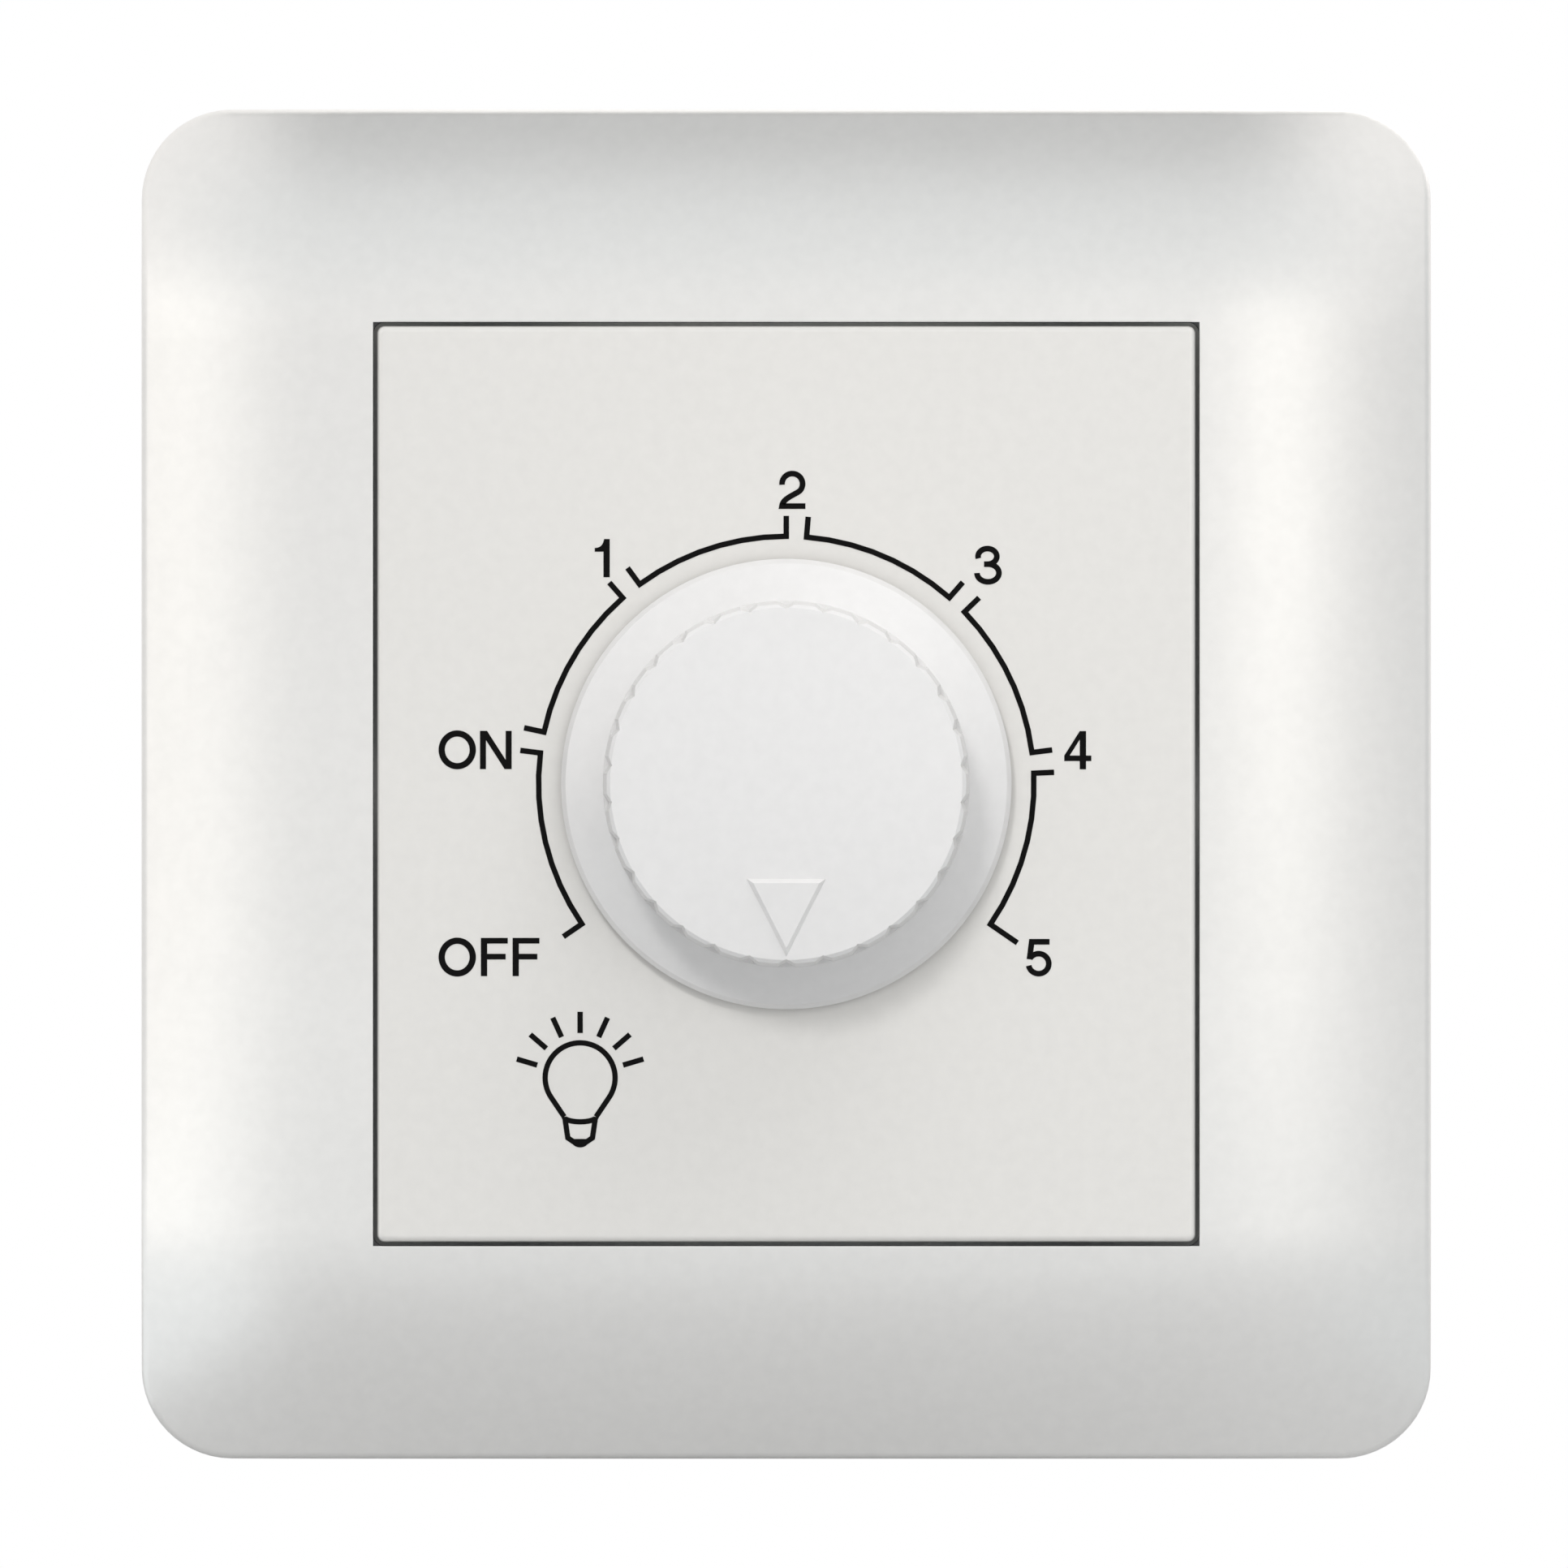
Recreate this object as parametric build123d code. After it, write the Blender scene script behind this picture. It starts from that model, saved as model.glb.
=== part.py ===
from build123d import *

import os
from math import cos, radians, sin, sqrt, tan

# A rotary wall dimmer. In front of the wall are a clip-on surround with a crowned face, a centre panel
# and a skirted knob. Behind a pressed steel yoke, a moulded case holds a potentiometer with a cam
# switch, a phase-control board and two screw terminals.
#
# Sizes are millimetres. Each piece is drawn as the user sees it: x to the right, y up the wall and
# z out of the wall, with the wall at z = 0 and the origin midway between the two box screws.
# On export z out of the wall becomes -Y, and y up the wall becomes +Z.

# Clearances
RUNNING_FIT = 0.05
SEAT_GAP = 0.15
PART_GAP = 0.3

# Wall box fixing, which the surround hides
BOX_SCREW_PITCH = 60.3
BOX_SLOT_WIDTH = 4.2
BOX_SLOT_LENGTH = 5.0

# Surround
PLATE_WIDTH = 86.0
PLATE_HEIGHT = 90.0
PLATE_CORNER = 6.0
RIM_HEIGHT = 5.2
EDGE_ROUND = 0.8
EDGE_SLOPE = 30.0
CROWN_HEIGHT = 9.6
SURROUND_WALL = 2.0
WINDOW_WALL = 1.6
WINDOW_CORNER = 0.7
TONGUE_WIDTH = 8.0
TONGUE_THICKNESS = 1.5
TONGUE_SPACING = 40.0
PRY_NOTCH_WIDTH = 9.0
PRY_NOTCH_HEIGHT = 1.2

# Snap hooks on the surround's tongues and the panel's legs
BARB_DEPTH = 0.8
BARB_LAND = 0.4
BARB_LEAD = 1.2

# Centre panel
PANEL_WIDTH = 54.5
PANEL_HEIGHT = 61.0
PANEL_CORNER = 0.5
PANEL_EDGE = 0.4
PANEL_GAP = 0.25
PANEL_PROUD = 0.25
PANEL_THICKNESS = 2.2
PANEL_WALL = 1.4
PANEL_WALL_INSET = 1.6
PANEL_BOSS_WALL = 1.4
PANEL_RIB = 1.2
PANEL_RIB_DEPTH = 2.4
LEG_WIDTH = 5.0
LEG_CLEARANCE = 1.9

# Knob
KNOB_GAP = 0.6
SKIRT_RADIUS = 15.0
SKIRT_EDGE = 1.3
SKIRT_RISE = 1.7
SKIRT_BEVEL = 0.3
GRIP_RADIUS = 12.2
GRIP_HEIGHT = 9.2
GRIP_DRAFT = 1.6
GRIP_BEVEL = 0.25
DOME_RISE = 0.6
DOME_FLAT = 1.0
NOTCH_COUNT = 30
NOTCH_WIDTH = 1.3
NOTCH_DEPTH = 0.32
NOTCH_LAND = 0.4
POINTER_WIDTH = 5.2
POINTER_LENGTH = 5.15
POINTER_TOP = 6.3
POINTER_RAISE = 0.3
POINTER_SLOPE = 40.0
KNOB_WALL = 1.6
HUB_RADIUS = 5.0
HUB_RIB = 1.2
SPRING_THICKNESS = 0.4
SPRING_WIDTH = 3.4

# Control shaft and its bush
SHAFT_RADIUS = 3.0
SHAFT_FLAT = 1.5
SHAFT_REACH = 8.0
BUSH_RADIUS = 3.5
BUSH_LENGTH = 6.5
BUSH_FLANGE = 8.0
BUSH_FLANGE_THICKNESS = 1.2
NUT_ACROSS_FLATS = 10.0
NUT_THICKNESS = 2.2
WASHER_RADIUS = 5.6
WASHER_THICKNESS = 0.5
CIRCLIP_RADIUS = 4.2
CIRCLIP_THICKNESS = 0.6
CIRCLIP_DEPTH = 0.55
CIRCLIP_MOUTH = 70.0
DRIVE_SQUARE = 3.4
TURN_STOP_X = 2.6
TURN_STOP_WIDTH = 1.0

# Potentiometer
KNOB_TRAVEL = 304.0
STOP_PLACE = 90.0
STOP_CLEARANCE = 0.5
ROTOR_RADIUS = 6.2
ROTOR_THICKNESS = 1.6
ROTOR_LUG_ANGLE = 28.0
ROTOR_LUG_RADIUS = 7.7
WIPER_THICKNESS = 0.3
WIPER_DIMPLE = 0.3
WIPER_TRACK = 5.6
WAFER_THICKNESS = 1.2
TONGUE_BOARD_WIDTH = 12.0
TONGUE_BOARD_REACH = 14.0
POT_PIN_PITCH = 5.0
POT_PIN_WIDTH = 1.2
POT_PIN_THICKNESS = 0.6
POT_CASE_WALL = 0.5
POT_CASE_LEDGE = 0.75
POT_CASE_DEPTH = 8.4

# Cam switch behind the potentiometer
SWITCH_SIZE = 17.0
SWITCH_WALL = 1.7
SWITCH_FLOOR = 1.0
CAM_RADIUS = 5.0
CAM_FLAT = 3.9
CAM_FLOOR_GAP = 1.7
LEAF_THICKNESS = 0.3
LEAF_MARGIN = 0.6
LEAF_LENGTH = 12.6
CONTACT_RADIUS = 0.9
CONTACT_THICKNESS = 0.5
CONTACT_GAP = 0.3
CONTACT_X = 4.5
SWITCH_TAIL_WIDTH = 1.2
SWITCH_TAIL_X = 5.6

# Steel yoke
YOKE_THICKNESS = 1.2
YOKE_SLOT_WALL = 4.35
YOKE_HEIGHT = 69.0
YOKE_CORNER = 4.0
LUG_WIDTH = 11.0
LUG_HEIGHT = 6.2
LUG_REACH = 1.6
LUG_BEND = 0.6
LUG_WINDOW_LOW = 2.9
LUG_WINDOW_HEIGHT = 1.9

# Rear case
CASE_WIDTH = 48.0
CASE_HEIGHT = 53.0
CASE_DEPTH = 26.0
CASE_WALL = 1.6
CASE_CORNER = 3.0
CASE_EDGE = 1.0
BOSS_RADIUS = 3.0
BOSS_INSET = 4.0
BOSS_SHOULDER = 0.9
CASE_SCREW_RADIUS = 1.4
CASE_SCREW_LENGTH = 11.0
CASE_SCREW_HEAD = 2.6
CASE_SCREW_HEAD_HEIGHT = 1.5
SCREW_SLOT_WIDTH = 0.7
SCREW_SLOT_DEPTH = 0.6
VENT_COUNT = 6
VENT_WIDTH = 1.6
VENT_PITCH = 4.0
VENT_LENGTH = 12.0

# Circuit board
BOARD_THICKNESS = 1.6
BOARD_WALL_ROOM = 1.7
BOSS_CLEARANCE = 0.5
LEAD_WIDTH = 0.5
LEAD_REACH = 1.2

# Screw terminals behind the board
TERMINAL_PITCH = 16.0
TERMINAL_WIDTH = 7.0
TERMINAL_HEIGHT = 9.0
TERMINAL_DEPTH = 7.0
TERMINAL_FLOOR_GAP = 0.4
TERMINAL_BORE = 1.8
TERMINAL_BORE_WALL = 1.0
TERMINAL_SCREW_RADIUS = 1.7
TERMINAL_SCREW_HEAD = 2.6
TERMINAL_SCREW_HEAD_HEIGHT = 1.5
WIRE_ENTRY_RADIUS = 2.4

# Triac, bolted to the yoke, which carries its heat away
TRIAC_TOP = 6.6
TRIAC_WIDTH = 10.2
TRIAC_TAB_LENGTH = 15.6
TRIAC_TAB_THICKNESS = 1.3
TRIAC_BODY_LENGTH = 9.2
TRIAC_BODY_THICKNESS = 3.1
TRIAC_HOLE_DROP = 2.8
TRIAC_LEAD_PITCH = 2.54
TRIAC_LEAD_WIDTH = 0.9
TRIAC_LEAD_THICKNESS = 0.5
TRIAC_LEAD_REACH = 2.6
PAD_THICKNESS = 0.3
PAD_MARGIN = 0.4
TAB_MITRE = 0.7
M3_RADIUS = 1.5
M3_HEAD_RADIUS = 2.8
M3_HEAD_HEIGHT = 1.6
M3_NUT_ACROSS_FLATS = 5.5
M3_NUT_THICKNESS = 2.4

# Interference choke
CHOKE_CLEARANCE = 0.55
CHOKE_BOSS_X = 9.4
CHOKE_INNER = 3.6
CHOKE_HEIGHT = 5.6
CHOKE_TURNS = 16
CHOKE_WIRE = 0.8
CHOKE_WOUND_ANGLE = 320.0

# Other parts on the board
FILTER_WIDTH = 13.0
FILTER_HEIGHT = 6.0
FILTER_DEPTH = 11.0
TIMING_GAP = 1.5
TIMING_WIDTH = 7.2
TIMING_HEIGHT = 3.4
TIMING_DEPTH = 7.5
AXIAL_TOP = 9.0
AXIAL_PITCH = 5.0
RESISTOR_COUNT = 2
RESISTOR_RADIUS = 1.2
RESISTOR_LENGTH = 6.3
DIAC_RADIUS = 0.95
DIAC_LENGTH = 4.2
FUSE_X = 3.0
FUSE_LENGTH = 20.0
FUSE_RADIUS = 2.6
FUSE_CAP_LENGTH = 5.4
FUSE_CAP_WALL = 0.2
FUSE_GLASS_WALL = 0.5
FUSE_WIRE_RADIUS = 0.15
CLIP_THICKNESS = 0.5
CLIP_WIDTH = 4.4
CLIP_MOUTH_ANGLE = 100.0

# Places worked out from the sizes above, most of them heights off the wall
CROWN_REACH = 2 * (CROWN_HEIGHT - RIM_HEIGHT) / tan(radians(EDGE_SLOPE))
WINDOW_WIDTH = PANEL_WIDTH + 2 * PANEL_GAP
WINDOW_HEIGHT = PANEL_HEIGHT + 2 * PANEL_GAP
PANEL_FRONT = CROWN_HEIGHT + PANEL_PROUD
PANEL_BACK = PANEL_FRONT - PANEL_THICKNESS
SKIRT_BACK = PANEL_FRONT + KNOB_GAP
GRIP_BASE = SKIRT_BACK + SKIRT_EDGE + SKIRT_RISE
GRIP_TOP = GRIP_BASE + GRIP_HEIGHT
GRIP_TOP_RADIUS = GRIP_RADIUS - GRIP_HEIGHT * tan(radians(GRIP_DRAFT))
DOME_EDGE = GRIP_TOP_RADIUS - GRIP_BEVEL
DOME_RADIUS = (DOME_EDGE**2 + DOME_RISE**2) / (2 * DOME_RISE)
KNOB_ROOF = GRIP_TOP - DOME_RISE - KNOB_WALL
HUB_BACK = SKIRT_BACK + PART_GAP
SHAFT_TOP = HUB_BACK + SHAFT_REACH
FLANGE_BACK = -BUSH_FLANGE_THICKNESS
ROTOR_FRONT = FLANGE_BACK - SEAT_GAP
ROTOR_BACK = ROTOR_FRONT - ROTOR_THICKNESS
WIPER_BACK = ROTOR_BACK - WIPER_THICKNESS
WAFER_FRONT = WIPER_BACK - WIPER_DIMPLE - RUNNING_FIT
WAFER_BACK = WAFER_FRONT - WAFER_THICKNESS
POT_CASE_BACK = -POT_CASE_DEPTH
CAM_FRONT = POT_CASE_BACK - PART_GAP
CASE_BACK = -CASE_DEPTH
CASE_FLOOR = CASE_BACK + CASE_WALL
BOARD_REAR = CASE_FLOOR + TERMINAL_FLOOR_GAP + TERMINAL_DEPTH
BOARD_FRONT = BOARD_REAR + BOARD_THICKNESS
CAM_BACK = BOARD_FRONT + SWITCH_FLOOR + CAM_FLOOR_GAP
LEAF_WIDTH = CAM_FRONT - CAM_BACK - 2 * LEAF_MARGIN
YOKE_WIDTH = BOX_SCREW_PITCH + BOX_SLOT_LENGTH + 2 * YOKE_SLOT_WALL
LUG_FACE = YOKE_HEIGHT / 2 + LUG_REACH
CASE_SCREW_X = CASE_WIDTH / 2 - BOSS_INSET
CASE_SCREW_Y = CASE_HEIGHT / 2 - BOSS_INSET
ROOM_X = CASE_WIDTH / 2 - CASE_WALL
ROOM_Y = CASE_HEIGHT / 2 - CASE_WALL
LEG_X = CASE_SCREW_X - CASE_SCREW_HEAD - LEG_CLEARANCE - LEG_WIDTH / 2
LEG_Y = ROOM_Y - PART_GAP - BARB_DEPTH
POT_CASE_RADIUS = BUSH_FLANGE + RUNNING_FIT + POT_CASE_WALL
TRIAC_X = -(POT_CASE_RADIUS + ROOM_X) / 2
TRIAC_HOLE_Y = TRIAC_TOP - TRIAC_HOLE_DROP
CHOKE_X = CHOKE_BOSS_X - CASE_SCREW_X
CHOKE_Y = (SWITCH_SIZE / 2 + ROOM_Y) / 2
CHOKE_OUTER = ROOM_Y - CHOKE_Y - CHOKE_CLEARANCE - CHOKE_WIRE - RUNNING_FIT
FILTER_X = CASE_SCREW_X - BOSS_RADIUS - BOSS_CLEARANCE - FILTER_WIDTH / 2
FILTER_Y = ROOM_Y - BOARD_WALL_ROOM - FILTER_HEIGHT / 2
TIMING_X = FILTER_X - (FILTER_WIDTH - TIMING_WIDTH) / 2
TIMING_Y = FILTER_Y - FILTER_HEIGHT / 2 - TIMING_GAP - TIMING_HEIGHT / 2
AXIAL_X = (SWITCH_SIZE / 2 + ROOM_X) / 2
FUSE_Y = BOARD_WALL_ROOM + CLIP_THICKNESS + RUNNING_FIT + FUSE_RADIUS - ROOM_Y
TERMINAL_Y = PART_GAP + TERMINAL_HEIGHT / 2 - ROOM_Y
TERMINAL_BORE_Z = BOARD_REAR - TERMINAL_BORE_WALL - TERMINAL_BORE

FROM_BACK = (Align.CENTER, Align.CENTER, Align.MIN)
CORNERS = [(side, end) for side in (-1, 1) for end in (-1, 1)]


def disc(radius, back, front, x=0, y=0):
    """A round solid, axis out of the wall, between two heights off the wall."""
    return Pos(x, y, back) * Cylinder(radius, front - back, align=FROM_BACK)


def block(width, height, back, front, x=0, y=0):
    """A rectangular solid between two heights off the wall."""
    return Pos(x, y, back) * Box(width, height, front - back, align=FROM_BACK)


def prism(outline, back, front):
    """An outline drawn on the wall, carried between two heights off the wall."""
    return extrude(Pos(0, 0, back) * outline, front - back)


def spun(points):
    """A solid of revolution from radius and height points."""
    return revolve(Plane.XZ * make_face(Polyline(*points, close=True)), Axis.Z)


def hexagon(across_flats, back, front, x=0, y=0):
    outline = RegularPolygon(across_flats / sqrt(3), 6)
    return Pos(x, y, 0) * prism(outline, back, front)


def wedge(middle, width, reach):
    """A flat triangle from the axis that spans an angle, to cut sectors with."""
    ends = [radians(middle - width / 2), radians(middle + width / 2)]
    rim = [(reach * cos(a), reach * sin(a)) for a in ends]
    return make_face(Polyline((0, 0), *rim, close=True))


def sector(inner, outer, middle, width):
    """A ring cut down to the part that spans an angle."""
    return (Circle(outer) - Circle(inner)) & wedge(middle, width, 2 * outer)


def snap_leg(width, thickness, top, end, catch):
    """A leg along z with its inner face at y = 0. Its barb points to -y and catches at one height."""
    foot = catch - BARB_LAND - BARB_LEAD
    barb = [(0, catch), (-BARB_DEPTH, catch), (-BARB_DEPTH, catch - BARB_LAND), (0, foot)]
    outline = make_face(Polyline((thickness, end), (thickness, top), (0, top), *barb, (0, end), close=True))
    return extrude(Plane.YZ * outline, width / 2, both=True)


def slotted_head(radius, back, front):
    """A screw's cheese head with a driver slot in the face that is further from the wall."""
    slot = block(2 * radius, SCREW_SLOT_WIDTH, front - SCREW_SLOT_DEPTH, front)
    return disc(radius, back, front) - slot


def crown_fall(inset):
    """The front's fall from the crown this far in from one side: steepest at the rim, then levelling out."""
    return (CROWN_HEIGHT - RIM_HEIGHT) * max(0, 1 - inset / CROWN_REACH) ** 2


def crown_stretches(size):
    """The front along one side: up from an edge, level, and down to the other edge.

    Each stretch is a curve of three control places, with the fall at each.
    """
    edge, level = size / 2, size / 2 - CROWN_REACH
    rise = [(-edge, crown_fall(0)), (-(edge + level) / 2, 0), (-level, 0)]
    descent = [(-place, fall) for place, fall in reversed(rise)]
    return [rise, [(-level, 0), (0, 0), (level, 0)], descent]


def crown(inset):
    """The crowned plate, this much smaller all round and this much lower: both sides' falls add up."""
    solid = Part()
    for across in crown_stretches(PLATE_WIDTH):
        for up in crown_stretches(PLATE_HEIGHT):
            net = [[(x, y, CROWN_HEIGHT - inset - a - b) for y, b in up] for x, a in across]
            solid += extrude(Face.make_bezier_surface(net), CROWN_HEIGHT, dir=(0, 0, -1))
    outline = RectangleRounded(PLATE_WIDTH - 2 * inset, PLATE_HEIGHT - 2 * inset, PLATE_CORNER - inset)
    return solid & prism(outline, 0, CROWN_HEIGHT)


def surround_frame():
    """Crowned cover with the panel's window, hollow behind, with four tongues that catch on the yoke."""
    shell = crown(0)
    walls = shell.faces().filter_by(lambda face: abs(face.normal_at().Z) < 0.01)
    rim = walls.edges().filter_by(lambda edge: edge.center().Z > 0).filter_by(Axis.Z, reverse=True)
    shell = fillet(rim, EDGE_ROUND) - crown(SURROUND_WALL)
    window = RectangleRounded(WINDOW_WIDTH, WINDOW_HEIGHT, WINDOW_CORNER)
    lining = RectangleRounded(
        WINDOW_WIDTH + 2 * WINDOW_WALL, WINDOW_HEIGHT + 2 * WINDOW_WALL, WINDOW_CORNER + WINDOW_WALL
    )
    shell += prism(lining, LUG_HEIGHT + PART_GAP, CROWN_HEIGHT - SURROUND_WALL / 2)
    shell -= prism(window, 0, CROWN_HEIGHT + 1)
    face = LUG_FACE + SEAT_GAP
    roof = CROWN_HEIGHT - crown_fall(PLATE_HEIGHT / 2 - face) - SURROUND_WALL / 2
    catch = LUG_WINDOW_LOW + LUG_WINDOW_HEIGHT - SEAT_GAP
    leg = snap_leg(TONGUE_WIDTH, TONGUE_THICKNESS, roof, YOKE_THICKNESS, catch)
    for side, end in CORNERS:
        turn = 0 if end > 0 else 180
        shell += Pos(side * TONGUE_SPACING / 2, end * face, 0) * Rot(0, 0, turn) * leg
    notch_depth = 3 * SURROUND_WALL
    return shell - block(PRY_NOTCH_WIDTH, notch_depth, 0, PRY_NOTCH_HEIGHT, y=-PLATE_HEIGHT / 2)


def front_panel():
    """Flat panel with a soft edge, walls that stand on the yoke and four legs that snap through it."""
    plate = prism(RectangleRounded(PANEL_WIDTH, PANEL_HEIGHT, PANEL_CORNER), PANEL_BACK, PANEL_FRONT)
    panel = fillet(plate.faces().sort_by(Axis.Z)[-1].edges(), PANEL_EDGE)
    outer = [size - 2 * PANEL_WALL_INSET for size in (PANEL_WIDTH, PANEL_HEIGHT)]
    inner = [size - 2 * PANEL_WALL for size in outer]
    head_room = CASE_SCREW_HEAD + PART_GAP
    walls = Rectangle(outer[0], 2 * (CASE_SCREW_Y - head_room))
    walls += Rectangle(2 * (CASE_SCREW_X - head_room), outer[1])
    panel += prism(walls - Rectangle(*inner), YOKE_THICKNESS, PANEL_BACK)
    hole = CIRCLIP_RADIUS + 2 * PART_GAP
    boss = hole + PANEL_BOSS_WALL
    ribs = Rectangle(inner[0], PANEL_RIB) + Rectangle(PANEL_RIB, inner[1]) + Circle(boss)
    panel += prism(ribs, PANEL_BACK - PANEL_RIB_DEPTH, PANEL_BACK)
    panel -= disc(hole, 0, PANEL_FRONT + 1)
    leg_end = -BARB_LAND - BARB_LEAD - PART_GAP
    leg = snap_leg(LEG_WIDTH, PANEL_WALL, PANEL_BACK, leg_end, -SEAT_GAP)
    for side, end in CORNERS:
        turn = 180 if end > 0 else 0
        panel += Pos(side * LEG_X, end * LEG_Y, 0) * Rot(0, 0, turn) * leg
    return panel


def dome_height(radius):
    """Height of the knob's domed end this far from its axis."""
    return GRIP_TOP - DOME_RADIUS + sqrt(DOME_RADIUS**2 - radius**2)


def knob_form():
    """The knob's outside: a coned skirt and a drafted grip with a domed end and notches down its side."""
    shoulder = GRIP_TOP - DOME_RISE
    bevel_rise = SKIRT_BEVEL * SKIRT_RISE / (SKIRT_RADIUS - GRIP_RADIUS)
    side = Polyline(
        (0, SKIRT_BACK),
        (SKIRT_RADIUS, SKIRT_BACK),
        (SKIRT_RADIUS, SKIRT_BACK + SKIRT_EDGE - SKIRT_BEVEL),
        (SKIRT_RADIUS - SKIRT_BEVEL, SKIRT_BACK + SKIRT_EDGE + bevel_rise),
        (GRIP_RADIUS, GRIP_BASE),
        (GRIP_TOP_RADIUS, shoulder - GRIP_BEVEL),
        (DOME_EDGE, shoulder),
    )
    flat = (DOME_FLAT, dome_height(DOME_FLAT))
    dome = ThreePointArc((DOME_EDGE, shoulder), (DOME_EDGE / 2, dome_height(DOME_EDGE / 2)), flat)
    middle = Polyline(flat, (0, flat[1]), (0, SKIRT_BACK))
    form = revolve(Plane.XZ * make_face([side, dome, middle]), Axis.Z)
    vee = [(-NOTCH_DEPTH, 0), (NOTCH_DEPTH, -NOTCH_WIDTH), (NOTCH_DEPTH, NOTCH_WIDTH)]
    cutter = extrude(Pos(0, 0, NOTCH_LAND) * make_face(Polyline(*vee, close=True)), GRIP_HEIGHT)
    cutter = Pos(GRIP_RADIUS, 0, GRIP_BASE) * Rot(0, -GRIP_DRAFT, 0) * cutter
    return form - [place * cutter for place in PolarLocations(0, NOTCH_COUNT, 90)]


def pointer():
    """The raised arrowhead near the dome's edge, square to the dome below its middle."""
    middle = POINTER_TOP + POINTER_LENGTH / 2
    height = dome_height(middle)
    slope = (0, -middle, height - GRIP_TOP + DOME_RADIUS)
    seat = Plane(origin=(0, -middle, height), x_dir=(1, 0, 0), z_dir=slope)
    half = POINTER_LENGTH / 2
    outline = [(-POINTER_WIDTH / 2, half), (0, -half), (POINTER_WIDTH / 2, half)]
    arrow = make_face(Polyline(*outline, close=True))
    root = seat * extrude(arrow, -POINTER_RAISE)
    return root + seat * extrude(arrow, POINTER_RAISE, taper=POINTER_SLOPE)


def control_knob():
    """Hollow knob with a hub for the flatted shaft, braced by four ribs."""
    bore = GRIP_TOP_RADIUS - KNOB_WALL
    hollow = spun(
        [
            (0, SKIRT_BACK - 1),
            (SKIRT_RADIUS - KNOB_WALL, SKIRT_BACK - 1),
            (SKIRT_RADIUS - KNOB_WALL, SKIRT_BACK + PART_GAP),
            (bore, SKIRT_BACK + SKIRT_EDGE),
            (bore, KNOB_ROOF),
            (0, KNOB_ROOF),
        ]
    )
    knob = knob_form() + pointer() - hollow
    ribs = Rectangle(2 * bore + KNOB_WALL, HUB_RIB) + Rectangle(HUB_RIB, 2 * bore + KNOB_WALL)
    knob += prism(ribs, GRIP_BASE, KNOB_ROOF) + disc(HUB_RADIUS, HUB_BACK, KNOB_ROOF)
    reach = SHAFT_RADIUS + RUNNING_FIT
    flat = SHAFT_FLAT + SPRING_THICKNESS + 2 * RUNNING_FIT
    socket = Circle(reach) - Pos(0, flat + reach) * Rectangle(2 * reach, 2 * reach)
    return knob - prism(socket, HUB_BACK - 1, SHAFT_TOP + PART_GAP)


def knob_spring():
    """Flat spring that wedges the shaft's flat in the knob's socket."""
    middle = SHAFT_FLAT + RUNNING_FIT + SPRING_THICKNESS / 2
    return block(SPRING_WIDTH, SPRING_THICKNESS, HUB_BACK + PART_GAP, SHAFT_TOP - PART_GAP, y=middle)


def control_shaft():
    """Shaft with a flat for the knob, a groove for its circlip and a square that drives rotor and cam."""
    shaft = disc(SHAFT_RADIUS, ROTOR_FRONT, SHAFT_TOP)
    flat = block(2 * SHAFT_RADIUS, SHAFT_RADIUS, HUB_BACK, SHAFT_TOP, y=SHAFT_FLAT + SHAFT_RADIUS / 2)
    clip_back = BUSH_LENGTH + RUNNING_FIT
    groove = disc(SHAFT_RADIUS + 1, clip_back, clip_back + CIRCLIP_THICKNESS + 2 * RUNNING_FIT)
    groove -= disc(SHAFT_RADIUS - CIRCLIP_DEPTH, clip_back, clip_back + CIRCLIP_THICKNESS + 1)
    return shaft - flat - groove + block(DRIVE_SQUARE, DRIVE_SQUARE, CAM_BACK, ROTOR_FRONT)


def shaft_circlip():
    """Open ring in the shaft's groove, which stops the shaft from sliding back through the bush."""
    ring = Circle(CIRCLIP_RADIUS) - Circle(SHAFT_RADIUS - CIRCLIP_DEPTH + RUNNING_FIT)
    back = BUSH_LENGTH + 2 * RUNNING_FIT
    return prism(ring - wedge(90, CIRCLIP_MOUTH, 3 * CIRCLIP_RADIUS), back, back + CIRCLIP_THICKNESS)


def stop_angles():
    """Middle and width of the fixed stop, and the rotor lug's middle with the knob turned fully back."""
    apart = (360 - KNOB_TRAVEL) / 2
    return STOP_PLACE, 2 * (apart - STOP_CLEARANCE) - ROTOR_LUG_ANGLE, STOP_PLACE - apart


def shaft_bush():
    """Threaded bush on a round flange, with a key for the yoke and the rotor's end stop behind."""
    bush = disc(BUSH_RADIUS, 0, BUSH_LENGTH) + disc(BUSH_FLANGE, FLANGE_BACK, 0)
    key_height = YOKE_THICKNESS - PART_GAP
    key_y = (BUSH_RADIUS + BUSH_FLANGE) / 2
    bush += block(TURN_STOP_X, TURN_STOP_WIDTH, 0, key_height, y=key_y)
    middle, width, _ = stop_angles()
    stop = sector(ROTOR_RADIUS + PART_GAP, BUSH_FLANGE, middle, width)
    bush += prism(stop, ROTOR_BACK, FLANGE_BACK)
    return bush - disc(SHAFT_RADIUS + RUNNING_FIT, FLANGE_BACK - 1, BUSH_LENGTH + 1)


def bush_washer():
    ring = Circle(WASHER_RADIUS) - Circle(BUSH_RADIUS + RUNNING_FIT)
    return prism(ring, YOKE_THICKNESS, YOKE_THICKNESS + WASHER_THICKNESS)


def bush_nut():
    back = YOKE_THICKNESS + WASHER_THICKNESS
    nut = hexagon(NUT_ACROSS_FLATS, back, back + NUT_THICKNESS)
    return nut - disc(BUSH_RADIUS + RUNNING_FIT, back, back + NUT_THICKNESS)


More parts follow.
